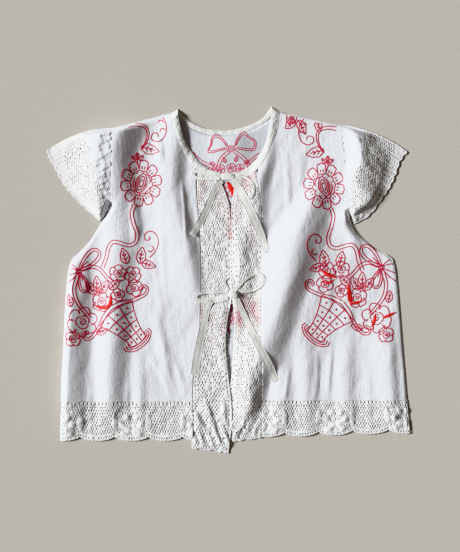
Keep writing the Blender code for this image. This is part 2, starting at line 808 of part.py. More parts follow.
def tape_plan(points):
    """Left and right edge of a flat tape at even steps along its bends."""
    length = sum(math.dist(a[:2], b[:2]) for a, b in zip(points, points[1:]))
    steps = max(round(length / TAPE_STEP), 4)
    middles = [along(points, i / steps) for i in range(steps + 1)]
    plan = []
    for i, here in enumerate(middles):
        a = middles[max(i - 1, 0)]
        b = middles[min(i + 1, steps)]
        run = math.dist(a[:2], b[:2])
        side_x = -(b.y - a.y) / run * here.width / 2
        side_y = (b.x - a.x) / run * here.width / 2
        plan.append(((here.x + side_x, here.y + side_y), (here.x - side_x, here.y - side_y)))
    return plan


def tape_levels(tree, plan):
    """How high the tape lies at each step: clear of all that is under it, with no sharp steps."""
    between = []
    for (one_left, one_right), (two_left, two_right) in zip(plan, plan[1:]):
        highest = 0.0
        for step in range(TAPE_FEEL_ALONG + 1):
            part = step / TAPE_FEEL_ALONG
            left = [blend(a, b, part) for a, b in zip(one_left, two_left)]
            right = [blend(a, b, part) for a, b in zip(one_right, two_right)]
            for across in range(-1, TAPE_FEEL_ACROSS + 2):
                spot = [blend(a, b, across / TAPE_FEEL_ACROSS) for a, b in zip(left, right)]
                highest = max(highest, rest_height(tree, *spot))
        between.append(highest)
    steps = range(len(plan))
    return [max(between[max(i - 1, 0) : i + 1]) + TAPE_GAP for i in steps]


def make_tape(name, points, tree, finish):
    plan = tape_plan(points)
    levels = tape_levels(tree, plan)
    bm = bmesh.new()
    rings = []
    for (a, b), z in zip(plan, levels):
        corners = ((*a, z), (*b, z), (*b, z + TAPE_WALL), (*a, z + TAPE_WALL))
        rings.append([bm.verts.new(corner) for corner in corners])
    for one, two in zip(rings, rings[1:]):
        for i in range(4):
            bm.faces.new((one[i], one[(i + 1) % 4], two[(i + 1) % 4], two[i]))
    bm.faces.new(rings[0])
    bm.faces.new(rings[-1][::-1])
    bmesh.ops.recalc_face_normals(bm, faces=bm.faces[:])
    bmesh.ops.scale(bm, vec=(MM, MM, MM), verts=bm.verts[:])
    mesh = bpy.data.meshes.new(name)
    bm.to_mesh(mesh)
    bm.free()
    return add_object(name, mesh, finish)


def make_knot(name, knot, tree, finish):
    """A pulled knot: a squashed ball, let down until it meets what is under it."""
    steps = KNOT_FEEL
    level = 0.0
    for i in range(-steps, steps + 1):
        for j in range(-steps, steps + 1):
            reach = (i * i + j * j) / steps**2
            if reach < 1:
                under = rest_height(tree, knot.x + knot.half_x * i / steps, knot.y + knot.half_y * j / steps)
                level = max(level, under - knot.half_z * (1 - math.sqrt(1 - reach)))
    level += LAYER_GAP
    bm = bmesh.new()
    bmesh.ops.create_uvsphere(bm, u_segments=KNOT_SIDES, v_segments=KNOT_RINGS, radius=1)
    bmesh.ops.scale(bm, vec=(knot.half_x, knot.half_y, knot.half_z), verts=bm.verts[:])
    bmesh.ops.translate(bm, vec=(knot.x, knot.y, level + knot.half_z), verts=bm.verts[:])
    bmesh.ops.scale(bm, vec=(MM, MM, MM), verts=bm.verts[:])
    mesh = bpy.data.meshes.new(name)
    bm.to_mesh(mesh)
    bm.free()
    mesh.shade_smooth()
    return add_object(name, mesh, finish)


def make_bows(tape):
    for name, knot in KNOTS.items():
        bpy.context.view_layer.update()
        make_knot(name, knot, support_tree(BLOUSE.objects[:]), tape)
    for name, points in TAPES.items():
        bpy.context.view_layer.update()
        make_tape(name, points, support_tree(BLOUSE.objects[:]), tape)


for old in list(bpy.data.objects):
    bpy.data.objects.remove(old)
BLOUSE = bpy.data.collections.new("embroidered_blouse")
bpy.context.scene.collection.children.link(BLOUSE)

COTTON = material("white_cotton", (0.80, 0.81, 0.83), 0.85)
LACE = material("crochet_lace", (0.82, 0.82, 0.80), 0.9)
TAPE = material("off_white_tape", (0.80, 0.79, 0.75), 0.8)

make_back(COTTON, TAPE)
make_fronts(COTTON)
make_front_binding(TAPE)
make_bands(LACE)
make_hem_lace(LACE)
make_sleeves(COTTON, LACE)
make_bows(TAPE)
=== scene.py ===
"""Short embroidered cotton blouse, laid flat on its back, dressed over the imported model.

Lengths in the tables are millimetres. The neck points towards +Y and the front faces up. Right and
left are the wearer's, so the right front lies at -X.
"""

import bpy
import numpy as np
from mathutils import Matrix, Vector


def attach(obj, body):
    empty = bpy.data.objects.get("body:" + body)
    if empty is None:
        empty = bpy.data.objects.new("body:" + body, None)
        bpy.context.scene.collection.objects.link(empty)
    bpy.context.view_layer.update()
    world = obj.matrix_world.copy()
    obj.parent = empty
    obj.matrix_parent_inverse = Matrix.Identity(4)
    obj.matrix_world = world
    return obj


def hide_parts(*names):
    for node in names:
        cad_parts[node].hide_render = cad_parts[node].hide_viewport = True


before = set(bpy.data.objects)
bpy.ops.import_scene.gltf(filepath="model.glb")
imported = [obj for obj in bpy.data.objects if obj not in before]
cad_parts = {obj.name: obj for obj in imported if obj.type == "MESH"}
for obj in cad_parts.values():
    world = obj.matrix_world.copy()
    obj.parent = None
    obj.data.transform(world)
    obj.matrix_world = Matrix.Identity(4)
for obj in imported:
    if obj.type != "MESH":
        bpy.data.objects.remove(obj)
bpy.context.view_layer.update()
bpy.ops.object.select_all(action="DESELECT")

# Table top, light and camera
# The blouse lies on a plain table top of warm grey paper. A broad lamp stands low at the wearer's
# right, so the far side of each fold falls into shade, and a weak warm fill comes from all round.
MM = 0.001
PAPER = (0.530, 0.503, 0.452)
PAPER_LEVEL = -0.4
LAMP_HEIGHT = 28.0
LAMP_TURN = 8.0
LAMP_BREADTH = 14.0
LAMP_POWER = 5.9
LAMP_COLOUR = (0.965, 0.985, 1.0)
FILL = (0.150, 0.128, 0.115)
CAMERA_PLACE = (2.25, 6.0, 3000.0)
CAMERA_LENS = 130.4


def new_material(name, colour, roughness):
    made = bpy.data.materials.new(name)
    made.use_nodes = True
    dress(made, Base_Color=(*colour, 1), Roughness=roughness)
    return made


def feed(material, socket, value):
    """Join an output to a socket, or set the socket to a plain value."""
    if isinstance(value, bpy.types.NodeSocket):
        material.node_tree.links.new(value, socket)
    else:
        socket.default_value = value


def dress(material, **settings):
    """Set or join the sockets of the material's own shader."""
    shader = material.node_tree.nodes["Principled BSDF"]
    for name, value in settings.items():
        feed(material, shader.inputs[name.replace("_", " ")], value)


def add_node(material, kind, *values, **settings):
    """A shader node. values go to its first sockets, and a setting to a property or a named socket."""
    node = material.node_tree.nodes.new(kind)
    for name, value in settings.items():
        if hasattr(node, name):
            setattr(node, name, value)
        else:
            feed(material, node.inputs[name.replace("_", " ")], value)
    for socket, value in zip(node.inputs, values):
        feed(material, socket, value)
    return node


def object_place(material):
    return add_node(material, "ShaderNodeTexCoord").outputs["Object"]


def noise(material, place, scale, detail, **settings):
    made = add_node(material, "ShaderNodeTexNoise", Vector=place, Scale=scale, Detail=detail, **settings)
    return made.outputs["Fac"]


def tinted(colour, share, added=0.0):
    return [min(c * share + added, 1) for c in colour]


def two_tone(material, mask, low, high, stops=(0.0, 1.0)):
    """A colour that runs from low to high as the mask goes from one stop to the other."""
    ramp = add_node(material, "ShaderNodeValToRGB", Fac=mask)
    for element, stop, colour in zip(ramp.color_ramp.elements, stops, (low, high)):
        element.position = stop
        element.color = (*colour, 1)
    return ramp.outputs["Color"]


def in_scene(name, data):
    made = bpy.data.objects.new(name, data)
    bpy.context.scene.collection.objects.link(made)
    return made


paper = new_material("paper", PAPER, 0.95)
grain = noise(paper, object_place(paper), 420.0, 3.0)
dress(paper, Base_Color=two_tone(paper, grain, tinted(PAPER, 0.93), tinted(PAPER, 1.07), (0.3, 0.7)))
bpy.ops.mesh.primitive_plane_add(size=9, location=(0, 0, PAPER_LEVEL * MM))
table_top = bpy.context.object
table_top.name = "table_top"
table_top.data.materials.append(paper)

lamp = bpy.data.lights.new("window", "SUN")
lamp.energy = LAMP_POWER
lamp.angle = np.radians(LAMP_BREADTH)
lamp.color = LAMP_COLOUR
up, turn = np.radians((LAMP_HEIGHT, LAMP_TURN))
towards_lamp = Vector((-np.cos(up) * np.cos(turn), np.cos(up) * np.sin(turn), np.sin(up)))
in_scene("window", lamp).rotation_euler = towards_lamp.to_track_quat("Z", "Y").to_euler()

world = bpy.data.worlds.new("room")
world.use_nodes = True
world.node_tree.nodes["Background"].inputs["Color"].default_value = (*FILL, 1)
bpy.context.scene.world = world
bpy.context.scene.view_settings.view_transform = "Khronos PBR Neutral"

camera = bpy.data.cameras.new("camera")
camera.lens = CAMERA_LENS
camera.clip_end = 20
camera_object = in_scene("camera", camera)
camera_object.location = Vector(CAMERA_PLACE) * MM
bpy.context.scene.camera = camera_object

# Back
# One panel of the same fine white cotton as the fronts, cut in one piece and lying flat on the table.
# Its neck is hollowed a little and bound; the fronts are sewn to it at the sides and shoulders.
CLOTH = 0.6
HEM_Y = -183.0
RIGHT_SIDE = (
    (-251.5, -183), (-250.5, -150), (-248, -103), (-245.5, -52), (-242, 0), (-236, 28), (-222, 43),
    (-208, 58), (-196, 77), (-190, 87), (-185, 96), (-178, 112), (-175.5, 140), (-175, 185), (-174.5, 228),
)
LEFT_SIDE = (
    (268, -181), (265.5, -150), (261.5, -103), (257.5, -52), (254, -9), (249.5, 24), (240, 37),
    (224, 44), (205, 59), (194, 70), (187, 81), (180.5, 102), (177.5, 140), (174, 185), (170, 232),
)
NECK_EDGE = (
    (-76, 255), (-66, 245), (-54, 236), (-32, 227), (-6, 224.5), (14, 226.5), (34, 233), (52, 243), (64, 259),
)


def smooth(t):
    t = np.clip(t, 0, 1)
    return t * t * (3 - 2 * t)


def mound(across, along):
    """A soft mound: 1 at its middle, and nearly nothing at twice its reach."""
    return np.exp(-(across**2) - along**2)


def between(low, high, share):
    return low + (high - low) * share


def spanned(edges, share):
    """Plan points across a strip. Each row of edges has x and y of one edge, and x and y of the other."""
    return between(edges[:, 0:1], edges[:, 2:3], share), between(edges[:, 1:2], edges[:, 3:4], share)


def sideways(points):
    """The unit step to the left of a line, at each of its points."""
    run = np.gradient(np.asarray(points, float), axis=0)
    run /= np.maximum(np.hypot(*run.T), 1e-6)[:, None]
    return np.stack([-run[:, 1], run[:, 0]], -1)


def along(rows, t):
    """The row at t, from 0 at the first to 1 at the last, on a smooth curve through the table."""
    rows = np.asarray(rows, float)
    spot = np.clip(np.asarray(t, float), 0, 1) * (len(rows) - 1)
    first = np.minimum(spot.astype(int), len(rows) - 2)
    part = (spot - first)[..., None]
    a, b, c = rows[np.maximum(first - 1, 0)], rows[first], rows[first + 1]
    d = rows[np.minimum(first + 2, len(rows) - 1)]
    bend = (2 * a - 5 * b + 4 * c - d) * part + (3 * b - a - 3 * c + d) * part * part
    return b + 0.5 * part * (c - a + bend)


def build(name, points, faces, material, uv=None, **marks):
    """A closed piece from points in millimetres. marks are named numbers, one for each point."""
    points = np.asarray(points, float)
    mesh = bpy.data.meshes.new(name)
    volume = 0.0
    for group in faces:
        for k in range(1, group.shape[1] - 1):
            a, b, c = (points[group[:, i]] for i in (0, k, k + 1))
            volume += np.einsum("ij,ij->", a, np.cross(b, c))
    turned = [group[:, ::-1] if volume < 0 else group for group in faces]
    mesh.from_pydata((points * MM).tolist(), [], [f for group in turned for f in group.tolist()])
    if uv is not None:
        corners = np.empty(len(mesh.loops), int)
        mesh.loops.foreach_get("vertex_index", corners)
        layer = mesh.uv_layers.new(name="cloth")
        layer.data.foreach_set("uv", np.asarray(uv, float)[corners].ravel())
    for mark, values in marks.items():
        mesh.attributes.new(mark, "FLOAT", "POINT").data.foreach_set("value", np.asarray(values, float))
    mesh.shade_smooth()
    mesh.materials.append(material)
    piece = in_scene(name, mesh)
    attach(piece, "root")
    return piece


def grid_faces(rows, columns):
    """Top, underside and rim of a thin wall whose points are one grid above another."""
    index = np.arange(rows * columns).reshape(rows, columns)
    top = np.stack([index[:-1, :-1], index[:-1, 1:], index[1:, 1:], index[1:, :-1]], -1).reshape(-1, 4)
    under = top[:, ::-1] + index.size
    border = np.concatenate([index[0, :-1], index[:-1, -1], index[-1, :0:-1], index[:0:-1, 0]])
    after = np.roll(border, -1)
    rim = np.stack([after, border, border + index.size, after + index.size], -1)
    return top, under, rim


def wall(name, x, y, under, material, thick=CLOTH):
    """A thin closed wall of cloth over a grid of plan points."""
    across = np.hypot(np.gradient(x, axis=1), np.gradient(y, axis=1)).cumsum(axis=1)
    down = np.hypot(np.gradient(x, axis=0), np.gradient(y, axis=0)).cumsum(axis=0)
    layers = [np.stack([x, y, z], -1).reshape(-1, 3) for z in (under + thick, under)]
    uv = np.tile(np.stack([across, down], -1).reshape(-1, 2) * MM, (2, 1))
    faces = np.concatenate(grid_faces(*x.shape))
    return build(name, np.concatenate(layers), [faces], material, uv)


def plain_weave(name, colour, pitch, mottle, roughness=0.8):
    """Fine cotton: two crossed rows of threads, a little crumpled, with a soft unevenness of colour."""
    cloth = new_material(name, colour, roughness)
    place = object_place(cloth)
    threads = []
    for axis in ("X", "Y"):
        wave = add_node(cloth, "ShaderNodeTexWave", bands_direction=axis, Vector=place, Distortion=0.6)
        feed(cloth, wave.inputs["Scale"], 0.314 / pitch)
        feed(cloth, wave.inputs["Detail Scale"], 2.0)
        threads.append(wave.outputs["Fac"])
    crossed = add_node(cloth, "ShaderNodeMath", *threads, operation="MAXIMUM").outputs["Value"]
    cloudy = noise(cloth, place, 38.0, 4.0)
    drawn = add_node(cloth, "ShaderNodeVectorMath", place, (1.0, 0.4, 1.0), operation="MULTIPLY")
    crumple = noise(cloth, drawn.outputs["Vector"], 150.0, 7.0, Roughness=0.72)
    soft = add_node(cloth, "ShaderNodeBump", Strength=0.6, Distance=0.0018, Height=crumple)
    fine = add_node(cloth, "ShaderNodeBump", Strength=0.3, Distance=0.0001, Height=crossed)
    feed(cloth, fine.inputs["Normal"], soft.outputs["Normal"])
    tone = two_tone(cloth, cloudy, tinted(colour, 1 - mottle), tinted(colour, 1 + mottle))
    dress(cloth, Base_Color=tone, Normal=fine.outputs["Normal"], Sheen_Weight=0.15, Specular_IOR_Level=0.2)
    return cloth


cotton = plain_weave("white_cotton", (0.78, 0.80, 0.84), 0.0006, 0.035, 0.85)
# The back is the same white cotton, painted darker and bluer: painted shade for the inside of the back seen
# in the neck and through the lace
painted_shade_back_cotton = plain_weave("painted_shade_back_cotton", (0.66, 0.69, 0.73), 0.0006, 0.03)


def patch(bottom, top, right, left, across, down):
    """Plan points of a panel, blended between its four edges."""
    u = np.linspace(0, 1, across + 1)
    v = np.linspace(0, 1, down + 1)
    bottom, top = along(bottom, u)[None], along(top, u)[None]
    right, left = along(right, v)[:, None], along(left, v)[:, None]
    u, v = u[None, :, None], v[:, None, None]
    corners = between(between(bottom[:, :1], bottom[:, -1:], u), between(top[:, :1], top[:, -1:], u), v)
    plan = between(bottom, top, v) + between(right, left, u) - corners
    return plan[..., 0], plan[..., 1]


BACK_NECK_BAND = 8.0
SIDE_TUCK = 1.6
BACK_GRID = (124, 92)
# The slack inside the neck: its rise, its middle, and its reach to the right, to the left and along
SLACK = dict(rise=6.0, x=2.0, y=200.0, right=27.28, left=34.72, along=30.0)


def back_slack(x, y):
    """How far the back stands up off the table in a soft swell inside the neck."""
    across = (x - SLACK["x"]) / np.where(x > SLACK["x"], SLACK["left"], SLACK["right"])
    swell = SLACK["rise"] * mound(across, (y - SLACK["y"]) / SLACK["along"])
    return swell * (1 + 0.12 * np.sin((x + 0.4 * y) / 7.0))


shoulder_right = [(-174.5, 228), (-152, 234), (-130, 239.5), (-108, 245)]
shoulder_left = [(92, 248), (118, 243), (144, 237.5), (170, 232)]
inner_neck = np.array(NECK_EDGE) - BACK_NECK_BAND * sideways(NECK_EDGE)
top_line = [*shoulder_right, (-86, 250), *inner_neck[1:-1], (76.5, 252), *shoulder_left]
right_seam = [(px + SIDE_TUCK, py) for px, py in RIGHT_SIDE]
left_seam = [(px - SIDE_TUCK, py) for px, py in LEFT_SIDE]
bottom_line = [(right_seam[0][0], HEM_Y), (0, HEM_Y), (left_seam[0][0], HEM_Y)]
x, y = patch(bottom_line, top_line, right_seam, left_seam, *BACK_GRID)
back = wall("back", x, y, np.zeros_like(x), painted_shade_back_cotton, CLOTH + back_slack(x, y))
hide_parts("back_panel")
binding_cloth = plain_weave("binding_tape", (0.75, 0.76, 0.745), 0.0005, 0.04)
share = np.linspace(0, 1, 6)[None]
x, y = spanned(along(np.hstack([NECK_EDGE, inner_neck]), np.linspace(0, 1, 90)), share)
puff = 0.75 + 0.45 * np.sin(np.pi * share) + 0.12 * np.sin(x / 2.3 + np.sin(x / 9)) + 0 * x
neck_back = wall("back_neck_binding_tape", x, y, np.zeros_like(x), binding_cloth, puff)
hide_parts("back_neck_binding")

# Fronts
# Two panels of fine white cotton, each gathered a little into the neck binding, so that soft folds
# run down from the shoulder and the neck. Both are sewn to the back at the side and the shoulder.
FRONT_UNDERSIDE = 1.5
LOWEST = 0.04
# How wide the rounded edge of the panel is, and how far and how widely its seam is drawn down
EDGE_ROLL = 9.0
SEAM_DROP, SEAM_WIDTH = 1.45, 3.4
# Share of the folds' height that is left down in the hem's lace
HEM_CALM = 0.35
PUCKER_PITCH, PUCKER_HEIGHT = 4.6, 0.22
FRONT_ROWS, FRONT_COLUMNS = 190, 92
# Unevenness of the cloth: height, size and seed of each ripple
CLOTH_RIPPLES = ((0.4, 60, 4), (0.2, 22, 9), (0.07, 9, 11))
RIGHT_MIDDLE = (
    (-53, -183), (-52, -147), (-44, -90), (-41.5, -40), (-40.5, 10), (-42, 60), (-45, 102), (-48, 137),
    (-48, 163), (-54, 177), (-61, 189), (-70, 207), (-76, 221), (-80.5, 237), (-83, 250),
)
LEFT_MIDDLE = (
    (50, -181), (50, -147), (50, -90), (50, -40), (50, 10), (50, 60), (49.5, 102), (46, 137),
    (44, 162), (48, 174), (54, 186), (63, 204), (68.5, 219), (72.5, 237), (73.5, 252),
)
# Main folds, each followed down its crest: level of the first row, step down to the next, and rows of
# x of the crest, rise, and how far the cloth slopes away towards the right and towards the left
DRAPES = (
    (240, 60, (
        (-167, 14.5, 70, 52), (-174, 13, 66, 42), (-170, 9, 55, 46), (-168, 6, 30, 44), (-172, 8.5, 32, 34),
        (-173, 9.5, 32, 32), (-177, 9, 32, 34), (-178, 8, 30, 32), (-179, 3, 30, 32),
    )),
    (60, 60, (
        (-228, 0, 12, 30), (-239, 9, 10, 43), (-243, 11.5, 8, 46), (-244, 11.5, 8, 47), (-244, 11, 8, 47),
        (-246, 8, 6, 44),
    )),
    (240, 60, (
        (-79, 6.5, 28, 44), (-85, 8, 42, 26), (-83, 7, 50, 28), (-66, 7.5, 55, 24), (-55, 5.5, 50, 24),
        (-50, 0, 40, 20),
    )),
    (180, 30, (
        (138, 0, 20, 22), (134, 4, 25, 26), (126, 8.5, 32, 36), (112, 13, 40, 48), (98, 15, 48, 54),
        (91, 15.5, 52, 50), (84, 15, 55, 44), (75, 14.5, 55, 42), (65, 14.5, 50, 44), (54, 15, 44, 46),
        (44, 14, 38, 46), (36, 11, 34, 34), (31, 8, 28, 28), (28, 3, 26, 24), (28, 0, 24, 24),
    )),
    (120, 60, (
        (120, 0, 60, 70), (115, 3, 60, 80), (110, 5, 60, 85), (100, 5, 60, 90), (95, 3, 60, 80),
        (95, 1.5, 60, 80),
    )),
    (210, 30, (
        (62, 2, 14, 14), (57, 4.5, 20, 17), (46, 7, 25, 22), (39, 7, 28, 26), (39, 6, 28, 26),
        (44, 3, 28, 24), (45, 0, 20, 20),
    )),
    (90, 30, (
        (14, 1, 14, 20), (16, 5.5, 16, 26), (18, 6.5, 18, 36), (17, 7, 18, 36), (13, 7.5, 14, 36),
        (12, 6, 12, 34), (12, 0, 12, 30),
    )),
    (240, 30, (
        (186, 7, 20, 36), (193, 10.5, 22, 42), (200, 12.5, 26, 50), (190, 12, 22, 60), (206, 8, 36, 30),
        (173, 4.5, 26, 12), (180, 1, 24, 14),
    )),
)
# Smaller folds: upper end, lower end, bow, rise, width towards the right, width towards the left, fades
FOLDS = (
    (-172, 250, -172, 110, 0, 6, 60, 86, 0.12, 0.4),
    (-143, 135, -136, 40, 0, 2.5, 12, 12, 0.4, 0.4),
    (-107, 225, -100, 165, 0, 2.2, 10, 10, 0.3, 0.4),
    (-112, -30, -86, -165, 0, 2.2, 14, 11, 0.4, 0.2),
    (-135, -90, -132, -262, 0, 2.0, 16, 14, 0.4, 0.05),
    (178, 125, 195, 20, 0, 3, 18, 16, 0.35, 0.2),
    (187, 224, 199, 158, 3, 2.6, 15, 15, 0.25, 0.3),
    (176, 220, 200, 205, 0, 1.0, 5, 5, 0.3, 0.3),
    (177, 196, 204, 182, 2, 1.1, 5, 6, 0.3, 0.3),
    (178, 176, 192, 158, -1, 0.9, 5, 5, 0.3, 0.3),
    (77, -100, 77, -262, 0, 2.8, 18, 24, 0.3, 0.05),
    (116, -65, 121, -262, 0, 2.8, 22, 20, 0.35, 0.01),
    (172, -80, 172, -262, 0, 1.8, 18, 24, 0.35, 0.01),
    (234, -30, 250, -262, 0, 3.8, 36, 17, 0.35, 0.35),
    (13, -75, 14, -195, 0, 3.0, 10, 34, 0.2, 0.3),
    (-8, -22, -9, -165, 0, 2.2, 20, 14, 0.15, 0.25),
    (40, -165, 8, -246, 0, 3.2, 14, 15, 0.3, 0.15),
    (-50, -192, -36, -262, 0, 3.2, 8, 7, 0.3, 0.01),
    (-38, -172, -12, -250, 0, 3.0, 11, 6, 0.35, 0.1),
    (-10, -170, -1, -262, 0, 2.8, 12, 8, 0.35, 0.01),
)
# Small creases, pressed in by wear: a few sharp ones and many faint ones
CREASES = (
    (-71, 158, -62, 40, 1, 1.5, 3.5, 3.5, 0.3, 0.4),
    (-101, 130, -92, -60, -2, 0.8, 9, 7, 0.4, 0.4),
    (-118, 60, -96, -90, 2, 0.7, 8, 8, 0.4, 0.4),
    (-128, -95, -84, -182, 4, 0.9, 8, 6, 0.4, 0.4),
    (-100, -95, -62, -176, 5, 1.0, 8, 6, 0.4, 0.4),
    (-212, 60, -216, -40, 0, 1.2, 10, 9, 0.4, 0.4),
    (-205, -110, -207, -250, 0, 1.1, 9, 8, 0.4, 0.1),
    (-150, -120, -152, -250, 0, 0.9, 8, 8, 0.4, 0.1),
    (85, 205, 90, 60, 2, 1.0, 8, 8, 0.4, 0.4),
    (112, 190, 104, 120, 0, 0.8, 8, 9, 0.4, 0.4),
    (155, -95, 148, -178, 1, 1.3, 9, 4, 0.3, 0.3),
    (133, -100, 129, -186, 3, 1.3, 9, 3, 0.4, 0.25),
    (92, -125, 84, -182, 0, 1.3, 6, 5, 0.4, 0.2),
    (208, -105, 214, -250, 0, 0.9, 10, 9, 0.4, 0.1),
    (152, 20, 150, -60, 0, 0.8, 10, 8, 0.4, 0.4),
)
OUTLINES = (
    ((-253, -262), *RIGHT_SIDE[1:12]),
    ((273, -262), *LEFT_SIDE[1:12]),
    ((-272.2, 195), (-244, 212), (-220, 222), (-174.5, 228), (-86, 250), (-76, 257)),
    ((268, 193), (236, 211.5), (212, 222), (170, 232), (76.5, 252), (64, 261)),
)


def fold_lift(fold, x, y):
    x0, y0, x1, y1, bow, rise, towards_right, towards_left, fade_in, fade_out = fold
    dx, dy = x1 - x0, y1 - y0
    length = np.hypot(dx, dy)
    t = ((x - x0) * dx + (y - y0) * dy) / length**2
    across = (-(x - x0) * dy + (y - y0) * dx) / length - 4 * bow * t * (1 - t)
    width = np.where(across > 0, towards_left, towards_right)
    crest = np.where(abs(across) < width, 0.5 + 0.5 * np.cos(np.pi * across / width), 0)
    ends = smooth(t / fade_in) * smooth((1 - t) / fade_out)
    return np.where((t > 0) & (t < 1), rise * crest * ends, 0)


def drape(first_level, step, rows, x, y):
    level = (first_level - y) / (step * (len(rows) - 1))
    crest, rise, towards_right, towards_left = np.moveaxis(along(rows, level), -1, 0)
    away = (x - crest) / np.where(x > crest, towards_left, towards_right)
    return rise * (0.5 + 0.5 * np.cos(np.pi * np.clip(away, -1, 1)))


def distance_to(lines, x, y):
    nearest = np.full(np.shape(x), 1e9)
    for line in lines:
        for (ax, ay), (bx, by) in zip(line, line[1:]):
            dx, dy = bx - ax, by - ay
            t = np.clip(((x - ax) * dx + (y - ay) * dy) / (dx * dx + dy * dy), 0, 1)
            nearest = np.minimum(nearest, np.hypot(x - ax - t * dx, y - ay - t * dy))
    return nearest


def ripple(x, y, size, seed):
    """A soft unevenness, between about -1 and 1, made of a few slanting waves."""
    turn = np.random.default_rng(seed)
    total = 0.0
    for k in range(6):
        angle = turn.uniform(0, np.pi)
        wave = 2 * np.pi / (size * turn.uniform(0.6, 1.7))
        total = total + np.sin(wave * (x * np.cos(angle) + y * np.sin(angle)) + turn.uniform(0, 6.28))
    return total / 3


def uneven(x, y, *ripples):
    return sum(height * ripple(x, y, size, seed) for height, size, seed in ripples)


def front_under(x, y):
    """Height of the underside of the upper layer: seam at the edge, folds and creases inside."""
    edge = distance_to(OUTLINES, x, y)
    calm = between(HEM_CALM, 1, smooth((y + 240) / 50))
    folds = calm * sum(fold_lift(fold, x, y) for fold in FOLDS + CREASES)
    deep = sum(drape(*fold, x, y) for fold in DRAPES)
    small = folds + uneven(x, y, *CLOTH_RIPPLES)
    lift = smooth(edge / EDGE_ROLL + 0.03) * small + calm * smooth(edge / EDGE_ROLL) * deep
    return np.maximum(FRONT_UNDERSIDE - SEAM_DROP * smooth(1 - edge / SEAM_WIDTH) + lift, LOWEST)


def pucker(x, y, seed):
    """Tiny gathers that run up from the hem's seam."""
    beat = np.sin(2 * np.pi * x / PUCKER_PITCH + 1.7 * np.sin(x / 17 + seed)) * smooth(1 - (y - HEM_Y) / 20)
    return PUCKER_HEIGHT * beat * (0.6 + 0.4 * np.sin(x / 7.3 + seed))


fronts = []
for side, edge, middle in (("right", RIGHT_SIDE, RIGHT_MIDDLE), ("left", LEFT_SIDE, LEFT_MIDDLE)):
    levels = np.linspace(0, 1, FRONT_ROWS)
    edges = np.hstack([along(edge, levels), along(middle, levels)])
    x, y = spanned(edges, np.linspace(0, 1, FRONT_COLUMNS)[None])
    under = front_under(x, y) + pucker(x, y, len(side))
    front = wall(f"{side}_front_cloth", x, y, under, cotton)
    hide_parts(f"{side}_front")
    fronts.append(front)

# Lace bands
# Two straight bands of white crochet, worked in close rows of small holes with denser leaves up the
# middle, are sewn under the front edges. They meet at the middle, and their lower ends hang past the hem.
THREAD = 0.9
SEAM_LAP = 2.0
BELOW_FRONT = 0.15
LACE_LOWEST = 0.3
# x and y at the seam, then at the free edge, from the lower end up
RIGHT_BAND = (
    (-55, -250, 0, -257.5), (-55, -215, 4.5, -218), (-55, -183, 4.5, -186), (-54, -147, 0.5, -150),
    (-46, -90, -4.5, -98), (-44.3, -60, -1.5, -60), (-43, -25, 4.5, -25), (-42.5, 10, 4.2, 10),
    (-44, 60, 4, 60), (-47, 102, 2.2, 104), (-49, 132, -3.5, 127), (-47, 164, -13, 150),
)
LEFT_BAND = (
    (51, -236, 6, -241), (51.5, -213, -1, -214), (52, -183, -1, -180), (52, -147, 4.5, -148),
    (52, -90, 8, -98), (52, -60, 9.5, -60), (52, -25, 6, -25), (52, 10, 5.3, 10),
    (52, 60, 5.2, 60), (51.5, 102, 4.6, 104), (48.5, 132, 7.5, 127), (43, 163, 11, 150),
)
BAND_ROWS, BAND_COLUMNS = 208, 26
PICOT = 6.3
TIP_TOP, TIP_SCALLOP = -225.0, 3.4
PLEAT_TOP, PLEAT_PITCH, PLEAT_HEIGHT = -192.0, 12.5, 0.75
# Rows from one leaf in the lace to the next
LEAF_REPEAT = 34
# Where the right band lies over the left one
OVERLAP = dict(rise=1.3, start_x=-12.0, width=8.0, top_y=-122.0, top_fade=22.0, low_y=-245.0, low_fade=90.0)


def spun(name, colour, deep, blush):
    """Soft spun thread: fine twisted fibres, painted shade that greys it down inside the holes, and pink over
    red work.
    """
    thread = new_material(name, colour, 0.9)
    place = object_place(thread)
    fibre, cloudy = noise(thread, place, 1500.0, 3.0), noise(thread, place, 60.0, 3.0)
    fleck = noise(thread, place, 240.0, 2.0)

    def mark(name):
        return add_node(thread, "ShaderNodeAttribute", attribute_name=name).outputs["Fac"]

    def product(first, second, *added):
        operation = "MULTIPLY_ADD" if added else "MULTIPLY"
        return add_node(thread, "ShaderNodeMath", first, second, *added, operation=operation).outputs["Value"]

    def mixed(factor, first, second):
        made = add_node(thread, "ShaderNodeMix", data_type="RGBA", Factor=factor, A=first, B=second)
        return made.outputs["Result"]

    depth = mark("depth")
    # The thread mixes towards the deep colour by a random cloudiness and by the depth mark; the depth part is
    # painted shade
    tone = mixed(product(cloudy, 0.26, depth), (*colour, 1), (*deep, 1))
    flush = product(product(fleck, mark("pink")), product(depth, 1.3, 0.9))
    bump = add_node(thread, "ShaderNodeBump", Strength=0.5, Distance=0.0003, Height=fibre)
    dress(thread, Base_Color=mixed(flush, tone, (*blush, 1)), Normal=bump.outputs["Normal"])
    dress(thread, Sheen_Weight=0.2, Specular_IOR_Level=0.2)
    return thread


# The second colour greys the thread at random and, as painted shade, down inside the holes and on the
# underside
crochet = spun("crochet_cotton", (0.82, 0.83, 0.83), (0.42, 0.41, 0.39), (0.50, 0.03, 0.07))
# A hole's size is its share of the cell. Below the narrowest it is worked shut
NARROWEST, HOLE, WIDEST = 0.05, 0.42, 0.97
# The share of a hole's size that its corners reach, and how high its inner edge lies in the thread
CORNER_SHARE, INNER_EDGE = 0.74, 0.42
# The sizes of holes that are stretched wide
STRETCHED = (0.72, 0.95)
# How far a thread strays, in height as a share of its thickness and sideways in millimetres
HEIGHT_WEAR, SIDE_WEAR = 0.18, 0.2
